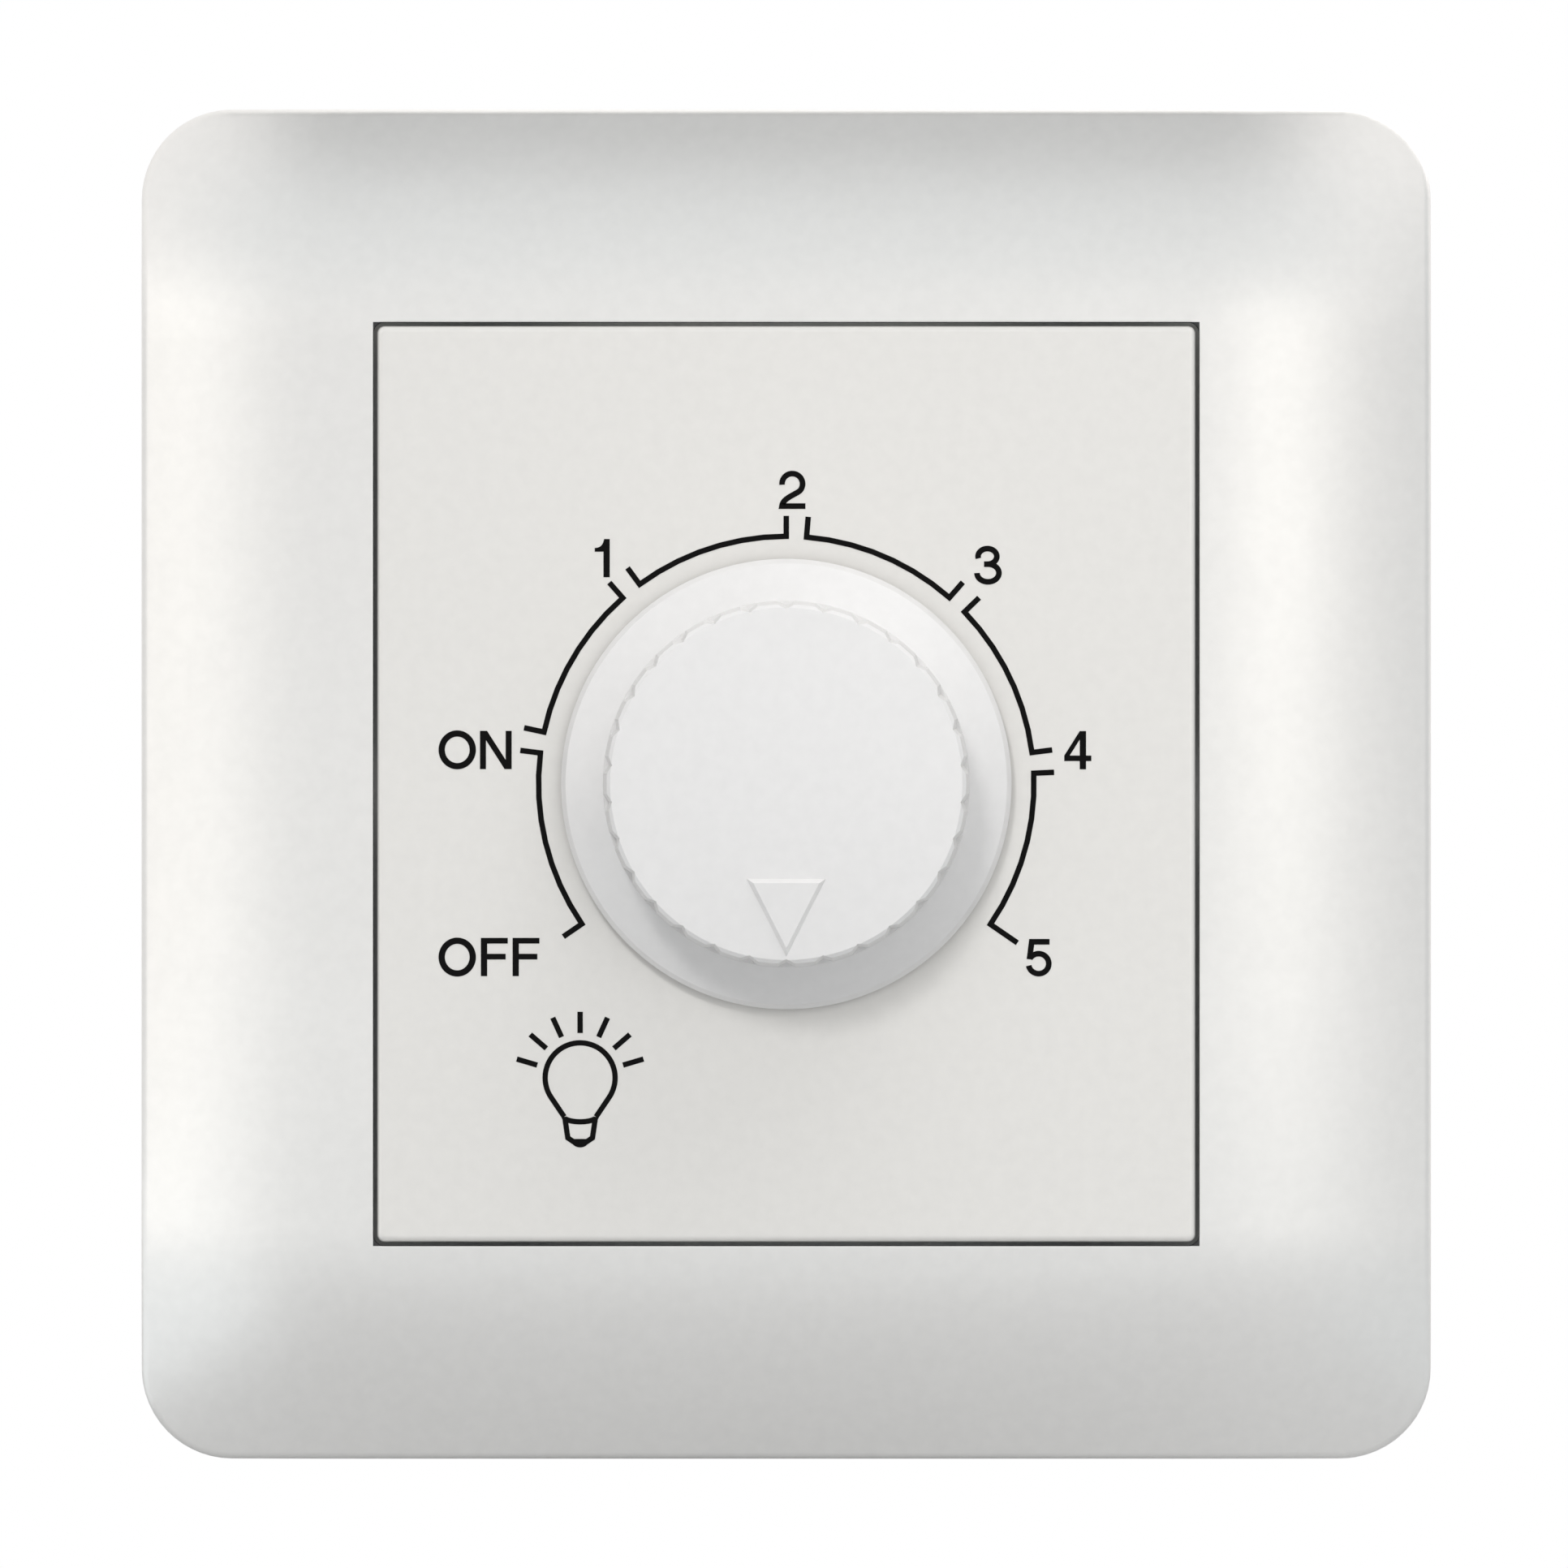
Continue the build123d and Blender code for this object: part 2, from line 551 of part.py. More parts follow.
def drive_hole(back, front):
    """The square hole by which a piece is turned by the shaft."""
    size = DRIVE_SQUARE + 2 * RUNNING_FIT
    return block(size, size, back - 1, front + 1)


def pot_rotor():
    """Disc on the shaft that carries the wiper, with the lug that meets the bush's stop."""
    _, _, lug_middle = stop_angles()
    lug = sector(ROTOR_RADIUS - PART_GAP, ROTOR_LUG_RADIUS, lug_middle, ROTOR_LUG_ANGLE)
    rotor = prism(Circle(ROTOR_RADIUS) + lug, ROTOR_BACK, ROTOR_FRONT)
    return rotor - drive_hole(ROTOR_BACK, ROTOR_FRONT)


def pot_wiper():
    """Sprung contact behind the rotor, with two dimples that run on the wafer's track."""
    arm = Circle(DRIVE_SQUARE) + Rectangle(2 * WIPER_TRACK, 2 * CONTACT_RADIUS)
    arm += [Pos(side * WIPER_TRACK, 0) * Circle(CONTACT_RADIUS) for side in (-1, 1)]
    wiper = prism(arm, WIPER_BACK, ROTOR_BACK)
    for side in (-1, 1):
        wiper += disc(CONTACT_RADIUS / 2, WIPER_BACK - WIPER_DIMPLE, WIPER_BACK, x=side * WIPER_TRACK)
    return wiper - drive_hole(WIPER_BACK, ROTOR_BACK)


def pot_wafer():
    """Track board: a disc in the case with a tongue below it for the pins."""
    outline = Circle(BUSH_FLANGE) + Pos(0, -TONGUE_BOARD_REACH / 2) * Rectangle(
        TONGUE_BOARD_WIDTH, TONGUE_BOARD_REACH
    )
    return prism(outline - Circle(SHAFT_RADIUS), WAFER_BACK, WAFER_FRONT)


def pot_pins():
    """Three pins from the wafer's tongue back to the board."""
    y = -TONGUE_BOARD_REACH + POT_PIN_WIDTH
    pin = block(POT_PIN_WIDTH, POT_PIN_THICKNESS, BOARD_FRONT, WAFER_BACK, y=y)
    return Compound([Pos(place * POT_PIN_PITCH, 0, 0) * pin for place in (-1, 0, 1)])


def pot_case():
    """Drawn can round the bush's flange, with a ledge under the wafer and a notch for its tongue."""
    bore = BUSH_FLANGE + RUNNING_FIT
    can = disc(POT_CASE_RADIUS, POT_CASE_BACK, 0) - disc(bore, WAFER_BACK, 1)
    can -= disc(bore - POT_CASE_LEDGE, POT_CASE_BACK + POT_CASE_WALL, WAFER_BACK + 1)
    can -= disc(DRIVE_SQUARE, POT_CASE_BACK - 1, 0)
    notch = TONGUE_BOARD_WIDTH + 2 * SEAT_GAP
    return can - block(notch, BUSH_FLANGE, WAFER_BACK, 1, y=-bore)


def switch_body():
    """Moulded cup between the potentiometer and the board that holds the cam and the contacts."""
    body = block(SWITCH_SIZE, SWITCH_SIZE, BOARD_FRONT, POT_CASE_BACK)
    body = fillet(body.edges().filter_by(Axis.Z), SWITCH_WALL)
    room = SWITCH_SIZE - 2 * SWITCH_WALL
    body -= block(room, room, BOARD_FRONT + SWITCH_FLOOR, POT_CASE_BACK + 1)
    slot = SWITCH_TAIL_WIDTH + 2 * SEAT_GAP
    for x, y in ((SWITCH_TAIL_X, leaf_y()), (-SWITCH_TAIL_X, anvil_y())):
        body -= block(slot, LEAF_THICKNESS + 2 * SEAT_GAP, BOARD_FRONT - 1, POT_CASE_BACK, x, y)
    return body


def switch_cam():
    """Disc with a flat. Off, the flat faces the leaf; turned, the rim pushes the leaf onto the anvil."""
    cam = disc(CAM_RADIUS, CAM_BACK, CAM_FRONT)
    cam -= block(2 * CAM_RADIUS, CAM_RADIUS, CAM_BACK, CAM_FRONT, y=CAM_FLAT + CAM_RADIUS / 2)
    return cam - drive_hole(CAM_BACK, CAM_FRONT)


def leaf_y():
    return CAM_FLAT + RUNNING_FIT + LEAF_THICKNESS / 2


def anvil_y():
    return leaf_y() + LEAF_THICKNESS + 2 * CONTACT_THICKNESS + CONTACT_GAP


def contact_strip(length, start, tail_x, y, facing):
    """A strip across the switch with a tail back to the board and a round contact on one face."""
    middle = (CAM_BACK + CAM_FRONT) / 2
    back, front = middle - LEAF_WIDTH / 2, middle + LEAF_WIDTH / 2
    strip = block(length, LEAF_THICKNESS, back, front, start + length / 2, y)
    strip += block(SWITCH_TAIL_WIDTH, LEAF_THICKNESS, BOARD_FRONT, back, tail_x, y)
    face = y + facing * LEAF_THICKNESS / 2
    across = Location((-CONTACT_X, face + facing * CONTACT_THICKNESS / 2, middle), (90, 0, 0))
    return strip + across * Cylinder(CONTACT_RADIUS, CONTACT_THICKNESS)


def switch_leaf():
    """The moving contact, a spring strip that lies along the cam."""
    return contact_strip(LEAF_LENGTH, -LEAF_LENGTH / 2, SWITCH_TAIL_X, leaf_y(), 1)


def switch_anvil():
    """The fixed contact that the leaf is pushed onto."""
    length = LEAF_LENGTH / 2 - CONTACT_X + 2 * CONTACT_RADIUS
    return contact_strip(length, -LEAF_LENGTH / 2, -SWITCH_TAIL_X, anvil_y(), -1)


def mounting_yoke():
    """Pressed steel plate with four folded lugs for the surround, and holes for all that it carries."""
    yoke = prism(RectangleRounded(YOKE_WIDTH, YOKE_HEIGHT, YOKE_CORNER), 0, YOKE_THICKNESS)
    start = YOKE_HEIGHT / 2 - YOKE_CORNER
    fold = Polyline(
        (start, 0),
        (LUG_FACE, 0),
        (LUG_FACE, LUG_HEIGHT),
        (LUG_FACE - YOKE_THICKNESS, LUG_HEIGHT),
        (LUG_FACE - YOKE_THICKNESS, YOKE_THICKNESS),
        (start, YOKE_THICKNESS),
        close=True,
    )
    lug = extrude(Plane.YZ * make_face(fold), LUG_WIDTH / 2, both=True)
    bends = lug.edges().filter_by(Axis.X).group_by(Axis.Z)
    lug = fillet(bends[0].sort_by(Axis.Y)[-1], LUG_BEND + YOKE_THICKNESS)
    inside = lug.edges().filter_by(Axis.X).filter_by_position(
        Axis.Z, YOKE_THICKNESS - RUNNING_FIT, YOKE_THICKNESS + RUNNING_FIT
    )
    lug = fillet(inside.sort_by(Axis.Y)[-1], LUG_BEND)
    hole_width = TONGUE_WIDTH + 2 * SEAT_GAP
    window_top = LUG_WINDOW_LOW + LUG_WINDOW_HEIGHT
    lug -= block(hole_width, 2 * YOKE_THICKNESS, LUG_WINDOW_LOW, window_top, y=LUG_FACE)
    for side, end in CORNERS:
        turn = 0 if end > 0 else 180
        yoke += Pos(side * TONGUE_SPACING / 2, 0, 0) * Rot(0, 0, turn) * lug
    holes = Circle(BUSH_RADIUS + SEAT_GAP) + Pos(TRIAC_X, TRIAC_HOLE_Y) * Circle(M3_RADIUS + SEAT_GAP)
    key_y = (BUSH_RADIUS + BUSH_FLANGE) / 2
    holes += Pos(0, key_y) * Rectangle(TURN_STOP_X + 2 * SEAT_GAP, TURN_STOP_WIDTH + 2 * SEAT_GAP)
    for side in (-1, 1):
        straight = BOX_SLOT_LENGTH - BOX_SLOT_WIDTH
        holes += Pos(side * BOX_SCREW_PITCH / 2, 0) * SlotCenterToCenter(straight, BOX_SLOT_WIDTH)
    leg_room = PANEL_WALL + BARB_DEPTH + 2 * SEAT_GAP
    for side, end in CORNERS:
        holes += Pos(side * CASE_SCREW_X, end * CASE_SCREW_Y) * Circle(CASE_SCREW_RADIUS + SEAT_GAP)
        leg_y = end * (LEG_Y - PANEL_WALL + leg_room / 2 - SEAT_GAP)
        holes += Pos(side * LEG_X, leg_y) * Rectangle(LEG_WIDTH + 2 * SEAT_GAP, leg_room)
    return yoke - prism(holes, -1, YOKE_THICKNESS + 1)


def rear_housing():
    """Moulded case behind the yoke, with stepped corner bosses, vents and openings at the terminals."""
    outline = RectangleRounded(CASE_WIDTH, CASE_HEIGHT, CASE_CORNER)
    case = prism(outline, CASE_BACK, 0)
    case = chamfer(case.faces().sort_by(Axis.Z)[0].edges(), CASE_EDGE)
    hollow = prism(RectangleRounded(2 * ROOM_X, 2 * ROOM_Y, CASE_CORNER - CASE_WALL), CASE_FLOOR, 1)
    for side, end in CORNERS:
        x, y = side * CASE_SCREW_X, end * CASE_SCREW_Y
        hollow -= disc(BOSS_RADIUS, CASE_FLOOR, 0, x, y)
        hollow -= disc(BOSS_RADIUS + BOSS_SHOULDER, CASE_FLOOR, BOARD_REAR, x, y)
        hollow += disc(CASE_SCREW_RADIUS + RUNNING_FIT, -CASE_SCREW_LENGTH, 1, x, y)
    case -= hollow
    row = [(step - (VENT_COUNT - 1) / 2) * VENT_PITCH for step in range(VENT_COUNT)]
    for place in row:
        case -= block(VENT_WIDTH, VENT_LENGTH, CASE_BACK - 1, CASE_FLOOR + 1, place, VENT_LENGTH)
    for side in (-1, 1):
        x = side * TERMINAL_PITCH / 2
        access = TERMINAL_SCREW_HEAD + PART_GAP
        case -= disc(access, CASE_BACK - 1, CASE_FLOOR + 1, x, TERMINAL_Y)
        entry = Location((x, -CASE_HEIGHT / 2, TERMINAL_BORE_Z), (90, 0, 0))
        case -= entry * Cylinder(WIRE_ENTRY_RADIUS, 3 * CASE_WALL)
    return case


def housing_screws():
    """Four screws through the yoke into the case's corner bosses."""
    front = YOKE_THICKNESS + CASE_SCREW_HEAD_HEIGHT
    screw = slotted_head(CASE_SCREW_HEAD, YOKE_THICKNESS, front)
    screw += disc(CASE_SCREW_RADIUS, PART_GAP - CASE_SCREW_LENGTH, YOKE_THICKNESS)
    return Compound([Pos(s * CASE_SCREW_X, e * CASE_SCREW_Y, 0) * screw for s, e in CORNERS])


def circuit_board():
    """Board that rests on the bosses' shoulders, cut away at its corners to pass over the bosses."""
    size = [2 * (ROOM_X - SEAT_GAP), 2 * (ROOM_Y - SEAT_GAP)]
    outline = Rectangle(*size)
    for side, end in CORNERS:
        outline -= Pos(side * CASE_SCREW_X, end * CASE_SCREW_Y) * Circle(BOSS_RADIUS + SEAT_GAP)
        corner = Pos(side * size[0] / 2, end * size[1] / 2)
        outline -= corner * Rectangle(2 * (BOSS_INSET - CASE_WALL), 2 * (BOSS_INSET - CASE_WALL))
    return prism(outline, BOARD_REAR, BOARD_FRONT)


def terminal(side):
    """Brass block behind the board with a bore for the wire and a threaded hole for its screw."""
    x = side * TERMINAL_PITCH / 2
    body = block(TERMINAL_WIDTH, TERMINAL_HEIGHT, BOARD_REAR - TERMINAL_DEPTH, BOARD_REAR, x, TERMINAL_Y)
    wire = Location((x, TERMINAL_Y, TERMINAL_BORE_Z), (90, 0, 0))
    body -= wire * Cylinder(TERMINAL_BORE, 2 * TERMINAL_HEIGHT)
    hole = TERMINAL_SCREW_RADIUS + RUNNING_FIT
    return body - disc(hole, BOARD_REAR - TERMINAL_DEPTH - 1, TERMINAL_BORE_Z, x, TERMINAL_Y)


def terminal_screws():
    """Clamp screws, backed out so that the wire bores are clear."""
    seat = CASE_FLOOR
    head = Rot(180, 0, 0) * slotted_head(TERMINAL_SCREW_HEAD, 0, TERMINAL_SCREW_HEAD_HEIGHT)
    tip = TERMINAL_BORE_Z - TERMINAL_BORE
    screw = Pos(0, 0, seat) * head + disc(TERMINAL_SCREW_RADIUS, seat, tip)
    return Compound([Pos(s * TERMINAL_PITCH / 2, TERMINAL_Y, 0) * screw for s in (-1, 1)])


def triac_back():
    """Height of the rear face of the triac's tab."""
    return -PAD_THICKNESS - TRIAC_TAB_THICKNESS


def triac_pad():
    """Thin insulator between the triac's tab and the yoke."""
    width, height = TRIAC_WIDTH + 2 * PAD_MARGIN, TRIAC_TAB_LENGTH + 2 * PAD_MARGIN
    pad = block(width, height, -PAD_THICKNESS, 0, TRIAC_X, TRIAC_TOP - TRIAC_TAB_LENGTH / 2)
    return pad - disc(M3_RADIUS + SEAT_GAP, -1, 1, TRIAC_X, TRIAC_HOLE_Y)


def triac_tab():
    """The package's metal tab with its screw hole and mitred top corners."""
    y = TRIAC_TOP - TRIAC_TAB_LENGTH / 2
    tab = block(TRIAC_WIDTH, TRIAC_TAB_LENGTH, triac_back(), -PAD_THICKNESS, TRIAC_X, y)
    tab = chamfer(tab.edges().filter_by(Axis.Z).group_by(Axis.Y)[-1], TAB_MITRE)
    return tab - disc(M3_RADIUS + 2 * SEAT_GAP, triac_back() - 1, 0, TRIAC_X, TRIAC_HOLE_Y)


def triac_body():
    """Moulded body on the lower part of the tab."""
    foot = TRIAC_TOP - TRIAC_TAB_LENGTH
    y = foot + TRIAC_BODY_LENGTH / 2
    body = block(
        TRIAC_WIDTH, TRIAC_BODY_LENGTH, triac_back() - TRIAC_BODY_THICKNESS, triac_back(), TRIAC_X, y
    )
    return chamfer(body.faces().sort_by(Axis.Z)[0].edges(), PART_GAP)


def triac_leads():
    """Three flat leads, down from the body and then back to the board."""
    foot = TRIAC_TOP - TRIAC_TAB_LENGTH
    front = triac_back() - TRIAC_BODY_THICKNESS / 2
    turn = foot - TRIAC_LEAD_REACH
    path = [
        (foot, front),
        (turn, front),
        (turn, BOARD_FRONT),
        (turn + TRIAC_LEAD_THICKNESS, BOARD_FRONT),
        (turn + TRIAC_LEAD_THICKNESS, front - TRIAC_LEAD_THICKNESS),
        (foot, front - TRIAC_LEAD_THICKNESS),
    ]
    lead = extrude(Plane.YZ * make_face(Polyline(*path, close=True)), TRIAC_LEAD_WIDTH / 2, both=True)
    return Compound([Pos(TRIAC_X + n * TRIAC_LEAD_PITCH, 0, 0) * lead for n in (-1, 0, 1)])


def triac_screw():
    front = YOKE_THICKNESS + M3_HEAD_HEIGHT
    end = triac_back() - M3_NUT_THICKNESS - PART_GAP
    screw = slotted_head(M3_HEAD_RADIUS, YOKE_THICKNESS, front) + disc(M3_RADIUS, end, YOKE_THICKNESS)
    return Pos(TRIAC_X, TRIAC_HOLE_Y, 0) * screw


def triac_nut():
    back = triac_back() - M3_NUT_THICKNESS
    nut = hexagon(M3_NUT_ACROSS_FLATS, back, triac_back(), TRIAC_X, TRIAC_HOLE_Y)
    return nut - disc(M3_RADIUS + RUNNING_FIT, back - 1, 0, TRIAC_X, TRIAC_HOLE_Y)


def choke_back():
    """Height of the core's rear face, one wire above the board."""
    return BOARD_FRONT + CHOKE_WIRE + RUNNING_FIT


def choke_core():
    core = prism(Circle(CHOKE_OUTER) - Circle(CHOKE_INNER), choke_back(), choke_back() + CHOKE_HEIGHT)
    return Pos(CHOKE_X, CHOKE_Y, 0) * core


def choke_winding():
    """The coil's turns, each a loop of wire round the core's section."""
    inside = (CHOKE_OUTER - CHOKE_INNER + 2 * RUNNING_FIT, CHOKE_HEIGHT + 2 * RUNNING_FIT)
    outside = [size + 2 * CHOKE_WIRE for size in inside]
    frame = chamfer(Rectangle(*outside).vertices(), CHOKE_WIRE / 2) - Rectangle(*inside)
    middle = (CHOKE_OUTER + CHOKE_INNER) / 2
    loop = Pos(middle, 0, choke_back() + CHOKE_HEIGHT / 2) * extrude(
        Plane.XZ * frame, CHOKE_WIRE / 2, both=True
    )
    pitch = CHOKE_WOUND_ANGLE / CHOKE_TURNS
    turns = [Rot(0, 0, 90 + pitch * (n - (CHOKE_TURNS - 1) / 2)) * loop for n in range(CHOKE_TURNS)]
    return Pos(CHOKE_X, CHOKE_Y, 0) * Compound(turns)


def boxed_capacitor(width, height, depth, x, y):
    """A film capacitor in a moulded box that stands on the board."""
    body = block(width, height, BOARD_FRONT, BOARD_FRONT + depth, x, y)
    return chamfer(body.edges().filter_by(Axis.Z) + body.faces().sort_by(Axis.Z)[-1].edges(), PART_GAP)


def axial_part(length, radius, x, y):
    """A small part lying along x just above the board, on two wire leads bent down to it."""
    height = BOARD_FRONT + radius + PART_GAP
    part = Pos(x, y, height) * Rot(0, 90, 0) * Cylinder(radius, length)
    reach = length / 2 + LEAD_REACH
    low, high = height - LEAD_WIDTH / 2, height + LEAD_WIDTH / 2
    part += block(2 * reach + LEAD_WIDTH, LEAD_WIDTH, low, high, x, y)
    for side in (-1, 1):
        part += block(LEAD_WIDTH, LEAD_WIDTH, BOARD_FRONT, high, x + side * reach, y)
    return part


def resistors():
    """Two resistors in the rows below the diac."""
    rows = [AXIAL_TOP - AXIAL_PITCH * (n + 1) for n in range(RESISTOR_COUNT)]
    return Compound([axial_part(RESISTOR_LENGTH, RESISTOR_RADIUS, AXIAL_X, y) for y in rows])


def fuse_place():
    """The fuse's middle: it lies along x in its clips."""
    return Pos(FUSE_X, FUSE_Y, BOARD_FRONT + CLIP_THICKNESS + FUSE_RADIUS + RUNNING_FIT) * Rot(0, 90, 0)


def fuse_tube():
    length = FUSE_LENGTH - 2 * FUSE_CAP_WALL - 2 * RUNNING_FIT
    glass = FUSE_RADIUS - FUSE_CAP_WALL - RUNNING_FIT
    return fuse_place() * (Cylinder(glass, length) - Cylinder(glass - FUSE_GLASS_WALL, length))


def fuse_wire():
    return fuse_place() * Cylinder(FUSE_WIRE_RADIUS, FUSE_LENGTH - 2 * FUSE_CAP_WALL)


def fuse_caps():
    """Drawn metal cups on both ends of the tube."""
    cup = disc(FUSE_RADIUS, 0, FUSE_CAP_LENGTH)
    cup -= disc(FUSE_RADIUS - FUSE_CAP_WALL, FUSE_CAP_WALL, FUSE_CAP_LENGTH + 1)
    ends = [Rot(0, turn, 0) * Pos(0, 0, -FUSE_LENGTH / 2) * cup for turn in (0, 180)]
    return fuse_place() * Compound(ends)


def fuse_clips():
    """Two spring clips, each a trough with arms that close over the cap."""
    axis = CLIP_THICKNESS + FUSE_RADIUS + RUNNING_FIT
    grip = FUSE_RADIUS + RUNNING_FIT
    round_band = Circle(grip + CLIP_THICKNESS) - Circle(grip)
    band = round_band - wedge(90, CLIP_MOUTH_ANGLE, 3 * grip)
    foot = Pos(0, CLIP_THICKNESS / 2 - axis) * Rectangle(2 * grip, CLIP_THICKNESS)
    clip = extrude(Plane.YZ * (Pos(0, axis) * (band + foot - Circle(grip))), CLIP_WIDTH / 2, both=True)
    reach = (FUSE_LENGTH - FUSE_CAP_LENGTH) / 2
    return Compound([Pos(FUSE_X + s * reach, FUSE_Y, BOARD_FRONT) * clip for s in (-1, 1)])


PIECES = {
    "surround_frame": surround_frame,
    "front_panel": front_panel,
    "control_knob": control_knob,
    "knob_spring": knob_spring,
    "control_shaft": control_shaft,
    "shaft_circlip": shaft_circlip,
    "shaft_bush": shaft_bush,
    "bush_washer": bush_washer,
    "bush_nut": bush_nut,
    "pot_rotor": pot_rotor,
    "pot_wiper": pot_wiper,
    "pot_wafer": pot_wafer,
    "pot_pins": pot_pins,
    "pot_case": pot_case,
    "switch_body": switch_body,
    "switch_cam": switch_cam,
    "switch_leaf": switch_leaf,
    "switch_anvil": switch_anvil,
    "mounting_yoke": mounting_yoke,
    "rear_housing": rear_housing,
    "housing_screws": housing_screws,
    "circuit_board": circuit_board,
    "live_terminal": lambda: terminal(-1),
    "load_terminal": lambda: terminal(1),
    "terminal_screws": terminal_screws,
    "triac_pad": triac_pad,
    "triac_tab": triac_tab,
    "triac_body": triac_body,
    "triac_leads": triac_leads,
    "triac_screw": triac_screw,
    "triac_nut": triac_nut,
    "choke_core": choke_core,
    "choke_winding": choke_winding,
    "filter_capacitor": lambda: boxed_capacitor(
        FILTER_WIDTH, FILTER_HEIGHT, FILTER_DEPTH, FILTER_X, FILTER_Y
    ),
    "timing_capacitor": lambda: boxed_capacitor(
        TIMING_WIDTH, TIMING_HEIGHT, TIMING_DEPTH, TIMING_X, TIMING_Y
    ),
    "resistors": resistors,
    "diac": lambda: axial_part(DIAC_LENGTH, DIAC_RADIUS, AXIAL_X, AXIAL_TOP),
    "fuse_tube": fuse_tube,
    "fuse_wire": fuse_wire,
    "fuse_caps": fuse_caps,
    "fuse_clips": fuse_clips,
}

os.makedirs("parts", exist_ok=True)
for name, make in PIECES.items():
    export_step(Plane.XZ.location * make(), f"parts/{name}.step")
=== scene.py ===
from math import atan2, cos, pi, radians, sin

import bmesh
import bpy
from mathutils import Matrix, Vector


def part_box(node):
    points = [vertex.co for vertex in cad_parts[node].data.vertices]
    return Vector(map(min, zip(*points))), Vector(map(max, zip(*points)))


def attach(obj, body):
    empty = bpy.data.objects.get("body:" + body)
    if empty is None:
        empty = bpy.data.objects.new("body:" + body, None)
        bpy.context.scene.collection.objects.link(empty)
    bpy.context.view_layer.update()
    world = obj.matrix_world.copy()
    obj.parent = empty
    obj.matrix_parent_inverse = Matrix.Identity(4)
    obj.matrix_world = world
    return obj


# The rotary wall dimmer's looks: print, finishes, studio and camera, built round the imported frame.

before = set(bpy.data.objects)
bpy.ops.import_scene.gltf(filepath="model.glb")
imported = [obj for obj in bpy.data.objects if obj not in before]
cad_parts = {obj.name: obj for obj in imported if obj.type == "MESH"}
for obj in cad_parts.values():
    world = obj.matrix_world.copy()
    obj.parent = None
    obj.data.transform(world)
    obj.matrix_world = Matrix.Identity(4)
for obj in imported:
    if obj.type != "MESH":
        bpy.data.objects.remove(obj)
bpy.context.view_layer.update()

# Print and stage are placed as the user sees the plate: x to the right, y up the wall and z out of
# the wall, in millimetres from the knob's axis. In the frame, z out of the wall is -Y and y up the
# wall is +Z.
MM = 0.001


def at(x, y, z):
    """A place in front of the wall, given in millimetres, as a point of the frame."""
    return Vector((x * MM, -z * MM, y * MM))


# Print

PANEL_FACE = -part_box("front_panel")[0].y / MM
INK_LIFT = 0.001
INK_THICKNESS = 0.02
INK_STEP = 0.002
INK_LEVELS = 4
ARC_STEP = 5.0

# Each stretch of the scale starts and ends at these angles, anticlockwise from the right, with a
# tick at both ends
SCALE_RADIUS = 16.5
SCALE_LINE = 0.37
SCALE_TICK = 17.86
OFF_TICK = 18.0
LAST_TICK = 18.68
SCALE_STRETCHES = (
    (214.4, 172.8),
    (167.9, 131.3),
    (126.3, 90.0),
    (85.3, 48.8),
    (44.0, 7.3),
    (2.5, -34.5),
)

# Letters and numerals
CAP_HEIGHT = 2.55
STEM = 0.42
BAR = 0.38

# Bulb sign below the scale
BULB_PLACE = (-13.73, -19.57)
BULB_LINE = 0.36
BULB_RADIUS = 2.33
BULB_OPEN = 34.0
BULB_NECK = (1.06, -2.6)
BULB_NECK_SAG = 0.33
BULB_CAP_TOP = (1.0, -2.78)
BULB_CAP_FOOT = (0.82, -4.0)
BULB_CAP_END = (0.45, -4.25)
BULB_CONTACT = (0.53, 0.36, -4.28)
RAY_COUNT = 7
RAY_PITCH = 24.5
RAY_START = 2.98
RAY_END = 4.4


def arc(centre, radii, start, end):
    """Points on an ellipse between two angles, the way round that the angles run."""
    steps = max(2, round(abs(end - start) / ARC_STEP))
    angles = [radians(start + (end - start) * n / steps) for n in range(steps + 1)]
    return [(centre[0] + radii[0] * cos(a), centre[1] + radii[1] * sin(a)) for a in angles]


def bezier(a, b, c, d, steps=12):
    """Points on a cubic curve from a to d."""
    points = []
    for n in range(steps + 1):
        t = n / steps
        weights = ((1 - t) ** 3, 3 * t * (1 - t) ** 2, 3 * t**2 * (1 - t), t**3)
        points.append(tuple(sum(w * p[k] for w, p in zip(weights, (a, b, c, d))) for k in (0, 1)))
    return points


def stroke(path, width, closed=False):
    """The outline of a line of one width along a path, mitred at its corners."""
    count = len(path)
    left, right = [], []
    for n, (x, y) in enumerate(path):
        before = path[n - 1] if n or closed else None
        after = path[(n + 1) % count] if n + 1 < count or closed else None
        sides = ((before, (x, y)), ((x, y), after))
        turns = [atan2(q[1] - p[1], q[0] - p[0]) for p, q in sides if p and q]
        bend = (turns[-1] - turns[0] + pi) % (2 * pi) - pi
        across = turns[0] + bend / 2 + pi / 2
        reach = width / 2 / cos(bend / 2)
        left.append((x + reach * cos(across), y + reach * sin(across)))
        right.append((x - reach * cos(across), y - reach * sin(across)))
    return left, right


